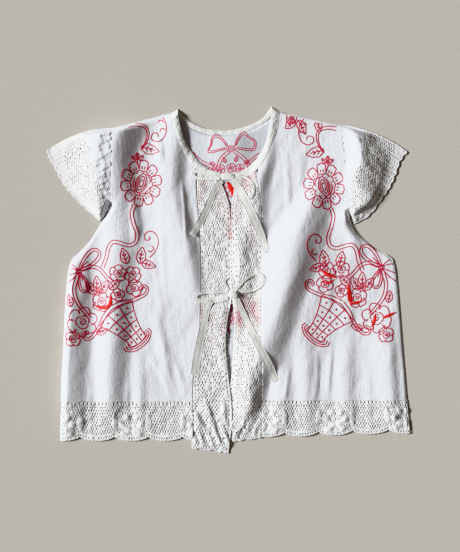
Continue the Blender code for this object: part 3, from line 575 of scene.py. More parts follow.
# Painted shade for the thread's colour, as depth marks: on the underside and round a hole's inner edge
UNDER_PAINTED_SHADE, HOLE_PAINTED_SHADE = 0.7, 0.5
# The eight points round a cell, as steps down and across
RING = ((0, 0), (0, 1), (0, 2), (1, 2), (2, 2), (2, 1), (2, 0), (1, 0))


def net_faces(open_ring, inner_ring, full_ring, full_middle, below):
    """Faces round the holes and over the filled stitches, on top and again on the points below them."""
    quads, triangles = [], []
    for k in range(len(RING)):
        m = (k + 1) % len(RING)
        a, b, c, d = open_ring[:, k], open_ring[:, m], inner_ring[:, m], inner_ring[:, k]
        quads += [np.stack([a, b, c, d], -1), np.stack([b + below, a + below, d, c], -1)]
        a, b, c = full_ring[:, k], full_ring[:, m], full_middle
        triangles += [np.stack([a, b, c], -1), np.stack([b + below, a + below, c + below], -1)]
    return quads, triangles


def crochet_net(name, x, y, under, holes, knobs, seed, pink=None):
    """A net of rounded threads. Each cell is a ring round its hole, or a filled stitch with a knob."""
    rows, columns = holes.shape
    worn = np.random.default_rng(seed)
    index = np.arange(x.size).reshape(x.shape)
    crest = under + THREAD * (1 + HEIGHT_WEAR * worn.uniform(-1, 1, x.shape))
    crest[1::2, 1::2] += knobs
    jitter = SIDE_WEAR * worn.uniform(-1, 1, (2, *x.shape))
    jitter[:, [0, -1], :] = 0
    jitter[:, :, [0, -1]] = 0
    x, y = x + jitter[0], y + jitter[1]
    top = np.stack([x, y, crest], -1).reshape(-1, 3)
    low = np.stack([x, y, under], -1).reshape(-1, 3)
    start_row, start_column = np.mgrid[0 : 2 * rows : 2, 0 : 2 * columns : 2]
    ring = np.stack([index[start_row + a, start_column + b] for a, b in RING], -1)
    middle = index[1::2, 1::2]
    is_open = holes > NARROWEST
    open_ring = ring[is_open]
    share = holes[is_open][:, None] * np.tile([CORNER_SHARE, 1.0], len(RING) // 2)[None]
    centre = low[middle[is_open]][:, None]
    inner = centre + (low[open_ring] - centre) * share[..., None]
    inner[..., 2] = low[open_ring][..., 2] + INNER_EDGE * THREAD
    inner_ring = 2 * x.size + np.arange(open_ring.size).reshape(open_ring.shape)
    quads, triangles = net_faces(open_ring, inner_ring, ring[~is_open], middle[~is_open], x.size)
    quads.append(grid_faces(*x.shape)[2])
    points = np.concatenate([top, low, inner.reshape(-1, 3)])
    # Depth marks: painted shade for the thread's colour, darker on the underside and round the holes
    depth = np.repeat([0, UNDER_PAINTED_SHADE, HOLE_PAINTED_SHADE], [x.size, x.size, inner_ring.size])
    pink = np.zeros(x.shape) if pink is None else pink
    flush = np.concatenate([pink.ravel(), pink.ravel(), np.repeat(pink[1::2, 1::2][is_open], len(RING))])
    groups = [np.concatenate(quads), np.concatenate(triangles)]
    used = np.unique(np.concatenate([group.ravel() for group in groups]))
    renamed = np.full(len(points), -1)
    renamed[used] = np.arange(len(used))
    groups = [renamed[group] for group in groups]
    return build(name, points[used], groups, crochet, depth=depth[used], pink=flush[used])


def quincunx(rows, columns, size):
    """Holes in every other cell, so that they lie in slanting lines."""
    i, j = np.mgrid[0:rows, 0:columns]
    return np.where((i + j + i // 2) % 2 == 0, size, 0.0), i, j


def uneven_holes(holes, seed, closed, wide, least=0.4, most=1.25):
    """Hand work: holes of unlike size, a few pulled shut and a share of them stretched wide."""
    worn = np.random.default_rng(seed)
    unlike = np.clip(holes * worn.uniform(least, most, holes.shape), 0, WIDEST)
    unlike[worn.uniform(0, 1, holes.shape) < closed] = 0
    i, j = np.indices(holes.shape)
    spaced = (i % 2 == 0) & ((j + i // 2) % 2 == 0) & (worn.uniform(0, 1, holes.shape) < wide)
    return np.where(holes > 0, np.where(spaced, worn.uniform(*STRETCHED, holes.shape), unlike), 0)


def overlap_lift(x, y):
    over = smooth((x - OVERLAP["start_x"]) / OVERLAP["width"])
    below_top = smooth((OVERLAP["top_y"] - y) / OVERLAP["top_fade"])
    above_end = smooth((y - OVERLAP["low_y"]) / OVERLAP["low_fade"])
    return OVERLAP["rise"] * over * below_top * above_end


# Red work on the layer below shows through the lace: middle, reach across and along, strength
PINK_SPOTS = (
    (-38, 144, 7, 10, 0.34), (-43, 122, 5, 12, 0.40), (-12, 112, 7, 18, 0.30), (26, 140, 10, 14, 0.50),
    (14, 104, 7, 16, 0.36), (34, 68, 6, 20, 0.26), (2, 92, 3, 30, 0.7), (-41, -50, 4, 20, 0.65),
    (-26, -58, 6, 14, 0.36), (37, -44, 8, 14, 0.85), (24, -26, 5, 8, 0.4), (44, -60, 6, 10, 0.4),
    (-24, -88, 5, 14, 0.2), (15, -54, 6, 18, 0.6), (-9, -72, 4, 12, 0.4), (20, -40, 9, 12, 0.45),
    (28, 155, 9, 8, 0.6), (18, -60, 7, 10, 0.4), (38, 160, 7, 7, 0.6), (3, 66, 4, 6, 0.9),
)


def pinkness(x, y):
    spots = (force * mound((x - a) / wide, (y - b) / high) for a, b, wide, high, force in PINK_SPOTS)
    return np.clip(sum(spots), 0, 1)


# The few gaps over 4 mm, near the lower end of the left band, drawn open between their neighbours
LACE_GAPS = ((13.2, -228.6), (19.2, -224.3), (25.2, -222.5), (35.5, -221.7), (15.8, -236.3))


def band_plan(table, side):
    """Plan points of a band with its picots and scalloped tip, and how far each is from the seam."""
    outwards = -1 if side == "right" else 1
    u = np.linspace(0, 1, 2 * BAND_COLUMNS + 1)[None]
    at = along(table, np.linspace(0, 1, 2 * BAND_ROWS + 1))
    x, y = spanned(at, u)
    x = x - outwards * 0.7 * abs(np.sin(np.pi * at[:, 1:2] / PICOT)) * smooth((u - 0.9) / 0.1)
    scallops = abs(np.sin(np.pi * (u * 3.6 + 0.1 + 0.25 * np.sin(7 * u)))) ** 0.7
    y = y - TIP_SCALLOP * smooth((TIP_TOP - y) / 28) * scallops
    if side == "left":
        for gap_x, gap_y in LACE_GAPS:
            push = 0.75 * mound((x - gap_x) / 3.2, (y - gap_y) / 3.2)
            x, y = x + (x - gap_x) * push, y + (y - gap_y) * push
    return x, y, abs(x - at[:, 0:1]), at[0, 1]


def band_under(x, y, seam, lower_end, side):
    """Height of a band's underside: it follows the front, cockles, and is pleated near its lower end."""
    outwards = -1 if side == "right" else 1
    cockle = uneven(x, y, (0.45, 26, 31 + len(side)), (0.28, 11, 33))
    pleats = np.sin(2 * np.pi * (x - outwards * 0.5 * y) / PLEAT_PITCH + 0.9 * ripple(x, y, 30, 37))
    ruffle = PLEAT_HEIGHT * smooth((PLEAT_TOP - y) / 40) * (1 + pleats)
    under = front_under(x, y) - BELOW_FRONT + cockle * smooth(seam / 8) + ruffle * smooth(seam / 6)
    under = under - 0.8 * smooth(SEAM_LAP + 0.5 - seam)
    under = np.maximum(between(LACE_LOWEST, under, smooth((y - lower_end + 9) / 20)), LACE_LOWEST)
    return under + overlap_lift(x, y) if side == "right" else under


def band_stitches(x, y, blush, side):
    """Holes and knobs of a band: slanting lines of holes, leaves up the middle, and two open edges."""
    holes, i, j = quincunx(BAND_ROWS, BAND_COLUMNS, HOLE)
    beside = abs(j - (BAND_COLUMNS - 1) / 2)
    up_leaf, up_wing = ((i + start) % LEAF_REPEAT - (LEAF_REPEAT - 1) / 2 for start in (0, LEAF_REPEAT // 2))
    leaf = np.hypot(beside / 2.7, up_leaf / 8.0) < 1
    wing = np.hypot((beside - 7.2) / 1.6, up_wing / 5.5) < 1
    holes[(leaf & (beside > 0.6)) | wing] = 0
    above_hem = y[:, 0] > HEM_Y + 3
    for column in (0, 1, 3):
        holes[above_hem, column] = 0
    holes[above_hem, 2] = np.where(i[above_hem, 2] % 3 == 0, 1.0, 0)
    holes[:, -4] = np.where(i[:, 2] % 3 == 1, 0.9, 0)
    holes[:, [-3, -1]] = 0
    wide = 0.15 + 0.35 * smooth((20 - y[:, 0:1]) / 120) + 1.2 * blush
    holes = uneven_holes(holes, 3 + len(side), 0.2, wide)
    if side == "left":
        for gap_x, gap_y in LACE_GAPS:
            holes[np.hypot(x - gap_x, y - gap_y) < 1.2] = WIDEST
    return holes, np.where(leaf | wing, 0.5, 0.16)


bands = []
for side, table in (("right", RIGHT_BAND), ("left", LEFT_BAND)):
    x, y, seam, lower_end = band_plan(table, side)
    under = band_under(x, y, seam, lower_end, side)
    blush = pinkness(x, y)
    cells = (slice(1, None, 2), slice(1, None, 2))
    holes, knobs = band_stitches(x[cells], y[cells], blush[cells], side)
    band = crochet_net(f"{side}_front_band", x, y, under, holes, knobs, 3 + len(side), blush)
    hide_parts(f"{side}_front_lace")
    bands.append(band)

# Hem lace
# A deep crochet edging with flowers in blocks of open net, ending in rounded scallops with a row of
# eyelets, is sewn all round the hem. Front and back lie one on the other.
SCALLOP = 51.0
SCALLOP_START = 0.35
SCALLOP_DEPTH = 7.0
HEM_PICOT = 0.9
# Height of the underside that the lace settles towards at its scallops
SCALLOP_REST = 1.1
# Middle of the flowers above the scallop's edge, and size of the eyelets
FLOWER_HEIGHT = 21.0
EYELET = 0.95
# Stitches of a flower or a leaf are worked shut where its mound is higher than this
SHUT_ABOVE = 0.45
# Raised parts of a flower, the same on both sides of its middle: distance across, distance up, reach
FLOWER_PARTS = ((6.5, 13, 4.6), (14, 1, 4.8), (4.5, -5, 4.8), (11, -13, 5.0))


def hem_bottom(x):
    level = between(-234.0, -228.0, smooth((x + 50) / 100)) + 5.0 * smooth((x - 60) / 200)
    return level - SCALLOP_DEPTH * abs(np.sin(np.pi * (x / SCALLOP + SCALLOP_START))) ** 0.6


def hem_stitches(filled, in_block, seed, shut_top):
    """Holes and knobs of hem lace: closer net in the flowers' blocks, and eyelets at both its edges."""
    rows, columns = filled.shape
    holes, _, j = quincunx(rows, columns, HOLE)
    holes[filled] = 0
    holes[[0, 2, 3]] = 0
    holes[1] = np.where(j[1] % 2 == 0, EYELET, 0)
    holes[[rows - 3, rows - 2]] = np.where(j[1] % 3 == 0, EYELET, 0)
    if shut_top:
        holes[rows - 1] = 0
    closed, wide = np.where(in_block, 0.3, 0.1), np.where(in_block, 0.35, 0.75)
    return uneven_holes(holes, seed, closed, wide), np.where(filled, 0.65, 0.1)


def hem_net(name, first_x, last_x, top_y, flare, per_scallop, rows, under, seed):
    """Lace for one stretch of the hem, over a front's underside or flat on the table."""
    columns = round((last_x - first_x) / SCALLOP * per_scallop)
    down = np.linspace(1, 0, 2 * rows + 1)[:, None]
    x = np.linspace(first_x, last_x, 2 * columns + 1)[None, :]
    y = between(top_y, hem_bottom(x), down)
    picot = HEM_PICOT * abs(np.sin(np.pi * (x - first_x) * per_scallop / SCALLOP / 3))
    y = y - picot * smooth((down - 0.94) / 0.06)
    x = x * (1 + flare * down * smooth((abs(x) - 180) / 90))
    phase = x / SCALLOP + SCALLOP_START
    across = abs(phase % 1 - 0.5) * SCALLOP
    up = y - hem_bottom(x) - FLOWER_HEIGHT
    in_block = np.floor(phase) % 2
    flower = in_block * sum(mound((across - a) / reach, (up - b) / reach) for a, b, reach in FLOWER_PARTS)
    leaves = mound((across - SCALLOP / 2) / 4.5, (up - 2) / 12)
    filled = (flower + leaves)[1::2, 1::2] > SHUT_ABOVE
    holes, knobs = hem_stitches(filled, in_block[1::2, 1::2] == 1, seed, shut_top=under is not None)
    height = np.zeros(x.shape)
    if under:
        seam = top_y - y
        relief = uneven(x, y, (0.3, 18, seed), (0.2, 8, seed + 1)) + 1.5 * flower + 0.8 * leaves
        height = under(x, y) - 0.1 + relief * smooth(seam / 8) - 0.75 * smooth(SEAM_LAP + 0.5 - seam)
        settled = between(height, SCALLOP_REST, 0.6 * smooth((down - 0.8) / 0.2))
        height = np.maximum(settled, LACE_LOWEST)
    return crochet_net(name, x, y, height, holes, knobs, seed)


right_hem = hem_net("right_hem_edging", -251.3, -53.2, HEM_Y + SEAM_LAP, 0.004, 27, 27, front_under, 21)
left_hem = hem_net("left_hem_edging", 50.2, 268.0, -181.2 + SEAM_LAP, 0.016, 27, 27, front_under, 22)
back_hem = hem_net("back_hem_edging", -250.0, 266.5, -183.2, 0.01, 13, 12, None, 23)
for edging, node, width in (
    (right_hem, "right_hem_lace", 0.2),
    (left_hem, "left_hem_lace", 0.22),
    (back_hem, "back_hem_lace", 0.525),
):
    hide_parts(node)

# Sleeves
# Short flutter sleeves: a strip of cotton gathered hard into the armhole, with a deep scalloped crochet
# edging sewn to it. Each lies folded in two, its top fold in line with the shoulder.
SLEEVE_SCALLOPS, SLEEVE_SCALLOP_DEPTH = 11, 1.8
SLEEVE_LOWEST = 0.1
# Height and number of the gathers at the seam and of the frill's waves at the rim, and how far and how
# often they are drawn together
SEAM_GATHERS, FRILL_WAVES = (0.5, 13, 1.1, 5), (0.5, 19, 1.5, 4)
FLUTE_HEIGHT, FLUTE_COUNT = 1.1, 4.5
SLEEVE_ROWS, SLEEVE_COLUMNS = 66, 33
SLEEVE_BACK_ROWS, SLEEVE_BACK_COLUMNS = 30, 14
# From the top fold down: x and y at the seam, x and y at the outer edge, how far the line between them
# bows up, and how much of its length is cotton
RIGHT_SLEEVE = (
    (-173.5, 228, -270.8, 195, 9, 0.37), (-173.8, 212, -267, 183, 7, 0.36), (-174, 185, -257, 165, 4, 0.33),
    (-174.2, 160, -246, 144, 2, 0.30), (-174.5, 140, -232, 126, 1, 0.28), (-176, 120, -214, 108, 0, 0.26),
    (-179, 106, -193, 88, 0, 0.24),
)
LEFT_SLEEVE = (
    (169, 232, 268, 193, 8, 0.36), (170.5, 214, 257, 179, 6, 0.39), (173, 185, 250, 159, 3, 0.33),
    (175, 160, 241, 139, 2, 0.14), (176.5, 140, 229, 122, 1, 0.08), (178.2, 118, 211, 98, 0, 0.07),
    (180, 102, 189, 84, 0, 0.07),
)
# Hollows pressed in near the armhole: place from the shoulder down, half length, then the middle's
# distance out from the seam and its half reach, and the share pressed down
RIGHT_HOLLOWS = (
    (0.06, 0.03, 7, 4, 0.30), (0.15, 0.03, 12, 5, 0.25), (0.26, 0.05, 13, 6, 0.55), (0.36, 0.035, 8, 5, 0.60),
    (0.40, 0.05, 17, 5, 0.45), (0.53, 0.03, 6, 5, 0.45), (0.65, 0.03, 8, 4, 0.30), (0.78, 0.05, 5, 6, 0.60),
    (0.90, 0.05, 4, 5, 0.5),
)
LEFT_HOLLOWS = (
    (0.10, 0.03, 4, 4, 0.3), (0.25, 0.03, 3, 4, 0.3), (0.42, 0.04, 3, 4, 0.35), (0.60, 0.03, 3, 4, 0.35),
    (0.80, 0.04, 3, 4, 0.35),
)


def sleeve_plan(table, levels, columns, part, overlap=0.0):
    """Plan points of a sleeve's cotton strip, or of the lace beyond it, from the seam outwards."""
    t = np.linspace(0, 1, levels + 1)
    row = along(table, t)
    share = np.linspace(0, 1, columns + 1)[None, :]
    seam = row[:, 5:6]
    depth = share * seam if part == "cotton" else between(seam - overlap, 1.0, share)
    reach = np.hypot(row[:, 2:3] - row[:, 0:1], row[:, 3:4] - row[:, 1:2])
    t = t[:, None] + 0 * depth
    scallop = SLEEVE_SCALLOP_DEPTH * abs(np.sin(np.pi * SLEEVE_SCALLOPS * t)) * smooth((1 - t) * 6) / reach
    depth = depth + scallop * smooth((depth - 0.8) / 0.2)
    x, y = spanned(row, depth)
    y = y + 4 * row[:, 4:5] * depth * (1 - depth)
    return x, y, t, depth, depth * reach


def gathered(t, height, number, sway, pace):
    """Uneven waves along a seam."""
    return height * np.sin(2 * np.pi * (number * t + sway * np.sin(pace * t)))


def puffed(hollows, x, y, t, depth, out, height):
    """The sleeve stands up off its seam, pressed down in the hollows, and falls softly to its edge."""
    pressed = sum(
        share * mound((t - spot) / half, (out - middle) / reach)
        for spot, half, middle, reach, share in hollows
    )
    stand = smooth((out + 2) / 28) * (1 - np.clip(pressed, 0, 0.8))
    fan = gathered(t, *SEAM_GATHERS) * np.exp(-out / 12)
    flutes = FLUTE_HEIGHT * (0.5 + 0.5 * np.cos(2 * np.pi * (FLUTE_COUNT * t + 0.2)))
    frill = gathered(t, *FRILL_WAVES) * smooth((depth - 0.72) / 0.16)
    fall = smooth((1.05 - depth) / 0.75)
    top = smooth(distance_to(OUTLINES, x, y) / EDGE_ROLL)
    edge = smooth((1.02 - depth) / 0.3)
    lift = height * stand * fall + fan * smooth(out / 3) + flutes * smooth(depth / 0.6) + frill
    near_seam = 1 + 1.6 * smooth((28 - out) / 12)
    crumple = near_seam * uneven(x, y, (0.20, 11, 71), (0.10, 5, 72))
    under = between(0.5, front_under(x, y) + top * (lift + crumple), between(0.12, 1.0, edge))
    return np.maximum(under - 0.7 * smooth(1 - out / 1.6), LACE_LOWEST)


def sleeve_stitches(side, open_share, wide):
    """Holes and knobs of a sleeve's lace: open in the middle, closer at its rim, with an eyelet row."""
    rows, columns = SLEEVE_ROWS, SLEEVE_COLUMNS
    holes, i, j = quincunx(rows, columns, open_share)
    if side == "right":
        middle = np.hypot((i - 0.5 * rows) / (0.42 * rows), (j - 0.35 * columns) / (0.42 * columns))
        holes = holes * (middle < 1)
        knobs = np.where(middle > 1, 0.3, 0.12)
    else:
        inner_part = (i > 0.3 * rows) & (j < 0.42 * columns)
        holes = np.where(inner_part, holes, 0.75 * holes)
        knobs = np.full(holes.shape, 0.08)
    holes[(j > columns - 9) & (j % 4 != 1)] = 0
    holes[:, [0, 1, -1]] = 0
    holes[:, -2] = np.where(i[:, 1] % 2 == 0, 0.8 * open_share + 0.2, 0)
    return uneven_holes(holes, 40 + len(side), 0.3, wide), knobs


for side, table, hollows, height, open_share, wide in (
    ("right", RIGHT_SLEEVE, RIGHT_HOLLOWS, 6.5, 0.40, 0.08),
    ("left", LEFT_SLEEVE, LEFT_HOLLOWS, 1.6, 0.50, 0.55),
):
    x, y, t, depth, out = sleeve_plan(table, 200, 34, "cotton")
    strip = wall(f"{side}_sleeve_strip", x, y, puffed(hollows, x, y, t, depth, out, height), cotton)
    x, y, *_ = sleeve_plan(table, 40, 6, "cotton")
    strip_back = wall(f"{side}_sleeve_strip_back", x, y, np.zeros_like(x), cotton)
    x, y, t, depth, out = sleeve_plan(table, 2 * SLEEVE_ROWS, 2 * SLEEVE_COLUMNS, "lace", 0.02)
    seam = depth - along(table, t[:, 0])[:, 5:6]
    under = puffed(hollows, x, y, t, depth, out, height) - BELOW_FRONT - 0.6 * smooth(1 - seam / 0.012)
    holes, knobs = sleeve_stitches(side, open_share, wide)
    name = f"{side}_sleeve_edging"
    edging = crochet_net(name, x, y, np.maximum(under, SLEEVE_LOWEST), holes, knobs, 50 + len(side))
    x, y, *_ = sleeve_plan(table, 2 * SLEEVE_BACK_ROWS, 2 * SLEEVE_BACK_COLUMNS, "lace", -0.004)
    holes, *_ = quincunx(SLEEVE_BACK_ROWS, SLEEVE_BACK_COLUMNS, 0.5)
    holes[:, [0, SLEEVE_BACK_COLUMNS - 1]] = 0
    name = f"{side}_sleeve_edging_back"
    edging_back = crochet_net(name, x, y, np.zeros_like(x), holes, np.zeros(holes.shape), 60 + len(side))
    for piece, node, slot, flat in (
        (strip, "sleeve_front", "cotton", (0.03, 0.13)),
        (strip_back, "sleeve_back", "cotton", (0.026, 0.12)),
        (edging, "sleeve_lace_front", "crochet_lace", (0.056, 0.125)),
        (edging_back, "sleeve_lace_back", "crochet_lace", (0.056, 0.125)),
    ):
        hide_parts(f"{side}_{node}")

# Neck binding
# A bias strip of cotton is folded over the raw neck edge and stitched down through all layers. Its two
# ends run on past the fronts as the ties of the neck bow.
RIGHT_BINDING = (
    (-76, 256.5, -86, 250), (-74, 240, -83, 237), (-68, 216, -78.6, 220), (-62, 202, -72.2, 205),
    (-53, 189, -63.4, 186), (-47.5, 181.5, -56.5, 175.3), (-40, 174, -48, 166.5), (-28, 165.5, -35, 157.5),
    (-14, 159, -14, 149),
)
LEFT_BINDING = (
    (64, 260.5, 76.5, 252), (63, 240, 75.4, 237), (59, 218, 71, 219), (53, 199, 64.5, 202.5),
    (44, 184, 55, 183), (39, 178, 49, 172.5), (33, 172, 41.5, 164), (22, 164, 30, 155.5),
    (10.5, 159, 10.5, 149),
)
neck_tapes = []
for side, table in (("right", RIGHT_BINDING), ("left", LEFT_BINDING)):
    share = np.linspace(0, 1, 13)[None]
    x, y = spanned(along(table, np.linspace(0, 1, 150)), share)
    wobble = 0.5 * ripple(x, y, 14, 81)
    x, y = x + wobble * share, y + 0.6 * wobble
    creased = uneven(x, y, (0.3, 10, 83), (0.2, 5, 84))
    puff = 0.35 + 0.45 * np.sin(np.pi * share) ** 0.6 + creased * np.sin(np.pi * share)
    puff = puff - 0.28 * np.exp(-(((share - 0.84) / 0.06) ** 2))
    under = front_under(x, y) + 0.45 * smooth((share - 0.1) / 0.3)
    strip = wall(f"{side}_neck_binding_tape", x, y, under, binding_cloth, puff)
    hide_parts(f"{side}_neck_binding")
    neck_tapes.append(strip)

# Embroidery
# Both fronts carry one sprig in crimson stem stitch, turned over for the left: a ribbon falls from the
# shoulder past a large flower to a tilted basket of roses with a bow. A few petals are filled in bright
# red satin stitch. More, paler, is worked on the inside of the back, below the neck and under the lace.
STITCH_SINK = 0.06
SEAM_CLEARANCE = 1.5
SHOULDER_X, SHOULDER_Y = (80, 175), (251, 229)
# Width, height and length of the stitches of each kind of work
STEM, FINE_STEM = (1.9, 0.5, 3.4), (1.6, 0.4, 3.4)
SATIN, RAISED_SATIN = (1.0, 0.75, 40.0), (1.0, 0.9, 40.0)
KNOT = (3.6, 1.0, 9.0)


def stranded(name, colour, roughness):
    """Stranded embroidery thread: a slight gloss, fine slanting strands and an uneven dye."""
    thread = new_material(name, colour, roughness)
    place = object_place(thread)
    strands, dye = noise(thread, place, 1800.0, 2.0), noise(thread, place, 160.0, 3.0)
    tone = two_tone(thread, dye, tinted(colour, 0.75), tinted(colour, 1.3, 0.01), (0.3, 0.7))
    bump = add_node(thread, "ShaderNodeBump", Strength=0.5, Distance=0.0002, Height=strands)
    dress(thread, Base_Color=tone, Normal=bump.outputs["Normal"], Sheen_Weight=0.1)
    return thread


crimson = stranded("crimson_thread", (0.50, 0.022, 0.065), 0.6)
faded = stranded("faded_thread", (0.58, 0.05, 0.12), 0.7)
scarlet = stranded("scarlet_thread", (0.74, 0.030, 0.025), 0.45)


def line(points, step=1.2):
    """A smooth line through a few points, with a point at every step."""
    fine = along(points, np.linspace(0, 1, 40 * len(points)))
    run = np.concatenate([[0], np.hypot(*np.diff(fine, axis=0).T).cumsum()])
    at = np.linspace(0, run[-1], max(int(run[-1] / step), 3) + 1)
    return np.stack([np.interp(at, run, fine[:, 0]), np.interp(at, run, fine[:, 1])], -1)


def lines(*routes):
    return [line(route) for route in routes]


def several(make, *rows):
    """The lines of several like motifs, one for each row of sizes."""
    return [part for row in rows for part in make(*row)]


def ribbon(points, width, end_width=None):
    """The two edges of a ribbon that follows a line, and may taper to its end."""
    middle = line(points)
    half = sideways(middle) * np.linspace(width, end_width or width, len(middle))[:, None] / 2
    return [middle + half, middle - half]


def turned(shape, angle, x, y):
    c, s = np.cos(np.radians(angle)), np.sin(np.radians(angle))
    return [np.stack([x + c * p[:, 0] - s * p[:, 1], y + s * p[:, 0] + c * p[:, 1]], -1) for p in shape]


def polar(radius, angle):
    return np.stack([radius * np.cos(angle), radius * np.sin(angle)], -1)


def ring(x, y, radius):
    return polar(radius, np.linspace(0, 2 * np.pi, max(int(radius * 5), 10))) + [x, y]


def leaf(x, y, length, width, angle, veins=2):
    """A pointed leaf from its stalk at x, y, its edge a little toothed, with a midrib and side veins."""
    t = np.linspace(0, 1, 26)
    half = width / 2 * np.sin(np.pi * t**0.8) ** 0.9 * (1 + 0.07 * np.cos(6 * np.pi * t))
    shape = [np.stack([length * t, half], -1), np.stack([length * t, -half], -1)]
    shape += lines([(0, 0), (0.45 * length, 0.02 * length), (0.8 * length, 0)])
    for k in range(veins):
        foot = length * (0.24 + 0.22 * k)
        reach = width * (0.30 - 0.05 * k)
        shape += lines(*([(foot, 0), (foot + 0.17 * length, s * reach)] for s in (-1, 1)))
    return turned(shape, angle, x, y)


def rose(x, y, size, angle, petals=5):
    """A garden rose from above: a wound heart, cupped inner petals and round outer ones that overlap."""
    t = np.linspace(0, 1, 40)
    shape = [polar(size * (0.05 + 0.19 * t), 8.2 * t)]
    for k in range(3):
        spread = np.linspace(-1.0, 1.0, 24)
        shape.append(polar(size * (0.44 - 0.08 * abs(spread) ** 3), spread + k * 2.1 + 0.4))
    pitch = 2 * np.pi / petals
    for k in range(petals):
        spread = np.linspace(-0.62, 0.5, 26) * pitch
        edge = 0.97 - 0.27 * abs(spread / (0.56 * pitch)) ** 2.6 + 0.03 * np.cos(7 * spread + k)
        shape.append(polar(size * edge, spread + k * pitch))
        shape.append(polar(size * np.linspace(0.56, 0.74, 6), np.full(6, (k + 0.5) * pitch)))
    return turned(shape, angle, x, y)


def rosette(x, y, wide, high, petals=10):
    """The large flower: a ring of frilled petals, two veins in each, round a bud of pointed curves."""
    shape = []
    pitch = 2 * np.pi / petals
    for k in range(petals):
        spread = np.linspace(-0.5, 0.5, 44)
        frill = 0.05 * abs(np.cos(3 * np.pi * spread)) ** 0.7
        edge = 0.95 + frill - 0.36 * abs(2 * spread) ** 4.5
        shape.append(polar(edge, (k + spread * 0.96) * pitch + 0.15))
        for s in (-0.15, 0.15):
            shape.append(polar(np.linspace(0.60, 0.74, 7), np.full(7, (k + s) * pitch + 0.15)))
        rim = np.linspace(-0.5, 0.5, 12)
        shape.append(polar(0.55 - 0.10 * (2 * rim) ** 4, (k + rim) * pitch - 0.15))
    t = np.linspace(0, 1, 36)
    bud = []
    for size in (0.44, 0.31, 0.17):
        side = size * 0.62 * np.sin(np.pi * t) ** 0.85
        tall = size * (2.1 * t - 1.05)
        bud += [np.stack([side, tall], -1), np.stack([-side, tall], -1)]
    bud += lines(
        [(0.02, -0.46), (0.30, -0.36), (0.46, -0.08), (0.40, 0.10), (0.22, -0.02)],
        [(0.02, 0.46), (0.24, 0.40), (0.40, 0.24), (0.36, 0.12)],
        [(-0.02, -0.46), (-0.28, -0.32), (-0.40, -0.06), (-0.36, 0.12)],
    )
    shape += turned(bud, -22, 0, 0)
    return [np.stack([x + wide * p[:, 0], y + high * p[:, 1]], -1) for p in shape]


def loop(x, y, length, width, angle):
    """One loop of a ribbon bow: a double outline, narrow at the knot, with one pleat."""
    t = np.linspace(0, 2 * np.pi, 54)
    swell = 0.5 * np.sin(t) * (1.3 - 0.6 * np.cos(t))
    outer = np.stack([length * 0.5 * (1 - np.cos(t)), width * swell], -1)
    inner = outer * [0.82, 0.56] + [length * 0.10, 0]
    pleat = line([(0, 0), (0.3 * length, 0.05 * width), (0.45 * length, 0)])
    return turned([outer, inner, pleat], angle, x, y)


def basket(x, y, angle):
    """A tilted basket: curled double lip, open lattice with a knot in each cell, and a ringed foot."""
    rim, depth = 64.0, 54.0
    lip = (
        (0, 0.17), (0.25, 0.11), (0.45, 0.01), (0.66, -0.06), (0.84, -0.08), (0.94, 0.0), (0.90, 0.10),
        (0.80, 0.09), (0.81, 0.02),
    )

    def body(u, v):
        half = 13.5 + 17.5 * (1 - v) ** 1.8
        crown = 5 * (1 - (2 * u - 1) ** 2) * (1 - 1.6 * v)
        return np.stack([half * (2 * u - 1), -depth * v + crown], -1)

    side = np.linspace(0, 1, 40)
    shape = [body(0 * side, side), body(0 * side + 1, side), body(side, 0 * side)]
    shape += [body(0 * side + k / 3, side) for k in (1, 2)]
    shape += [body(side, 0 * side + k / 4) for k in (1, 2, 3, 4)]
    for s in (-1, 1):
        shape += ribbon([(s * rim * a, rim * b) for a, b in lip], 5.5, 3)
    for half, drop in ((15, 3), (19, 6.5), (23, 10)):
        foot = [(-half, 7), (-half - 1, 0), (-0.6 * half, -0.8 * drop), (0, -drop)]
        shape.append(line([(a, b - depth) for a, b in foot + [(-a, b) for a, b in foot[-2::-1]]]))
    knots = [body(np.array([(a + 0.5) / 3]), np.array([(b + 0.5) / 4])) for b in range(4) for a in range(3)]
    return turned(shape, angle, x, y), turned(knots, angle, x, y)


def satin(points, widths, pitch=0.75):
    """A filled petal: close stitches laid side by side across a line."""
    middle = line(points, step=pitch)
    half = np.interp(np.linspace(0, 1, len(middle)), np.linspace(0, 1, len(widths)), widths) / 2
    steps = np.maximum((2 * half / 0.9).astype(int), 2) + 1
    rows = zip(middle, sideways(middle) * half[:, None], steps, half)
    return [np.linspace(m - across, m + across, count) for m, across, count, h in rows if h > 0.4]


def work(name, rows, surface, material, sizes):
    """Rows of raised stitches along lines on a surface, as one closed mesh."""
    width, height, stitch = sizes
    arc = np.radians([0, 45, 90, 135, 180])
    points, faces, ends, start = [], [], [], 0
    for row in rows:
        beside = sideways(row)
        distance = np.concatenate([[0], np.hypot(*np.diff(row, axis=0).T).cumsum()])
        beat = abs(np.sin(np.pi * distance / stitch + start)) ** 0.5
        from_end = np.minimum(distance, distance[-1] - distance)
        swell = (0.72 + 0.28 * beat) * np.interp(from_end, [0, 0.6], [0.5, 1])
        lean = 0.18 * (distance / stitch % 1 - 0.5)
        across = width / 2 * swell[:, None] * np.cos(arc) + lean[:, None]
        x = row[:, 0:1] + beside[:, 0:1] * across
        y = row[:, 1:2] + beside[:, 1:2] * across
        points.append(np.stack([x, y, height * swell[:, None] * np.sin(arc)], -1).reshape(-1, 3))
        index = start + np.arange(len(row) * len(arc)).reshape(len(row), len(arc))
        wrap = np.roll(index, -1, axis=1)
        faces.append(np.stack([index[:-1], wrap[:-1], wrap[1:], index[1:]], -1).reshape(-1, 4))
        ends += [index[0][::-1], index[-1]]
        start += index.size
    points = np.concatenate(points)
    points[:, 2] += surface(points[:, 0], points[:, 1]) - STITCH_SINK
    piece = build(name, points, [np.concatenate(faces), np.array(ends)], material)


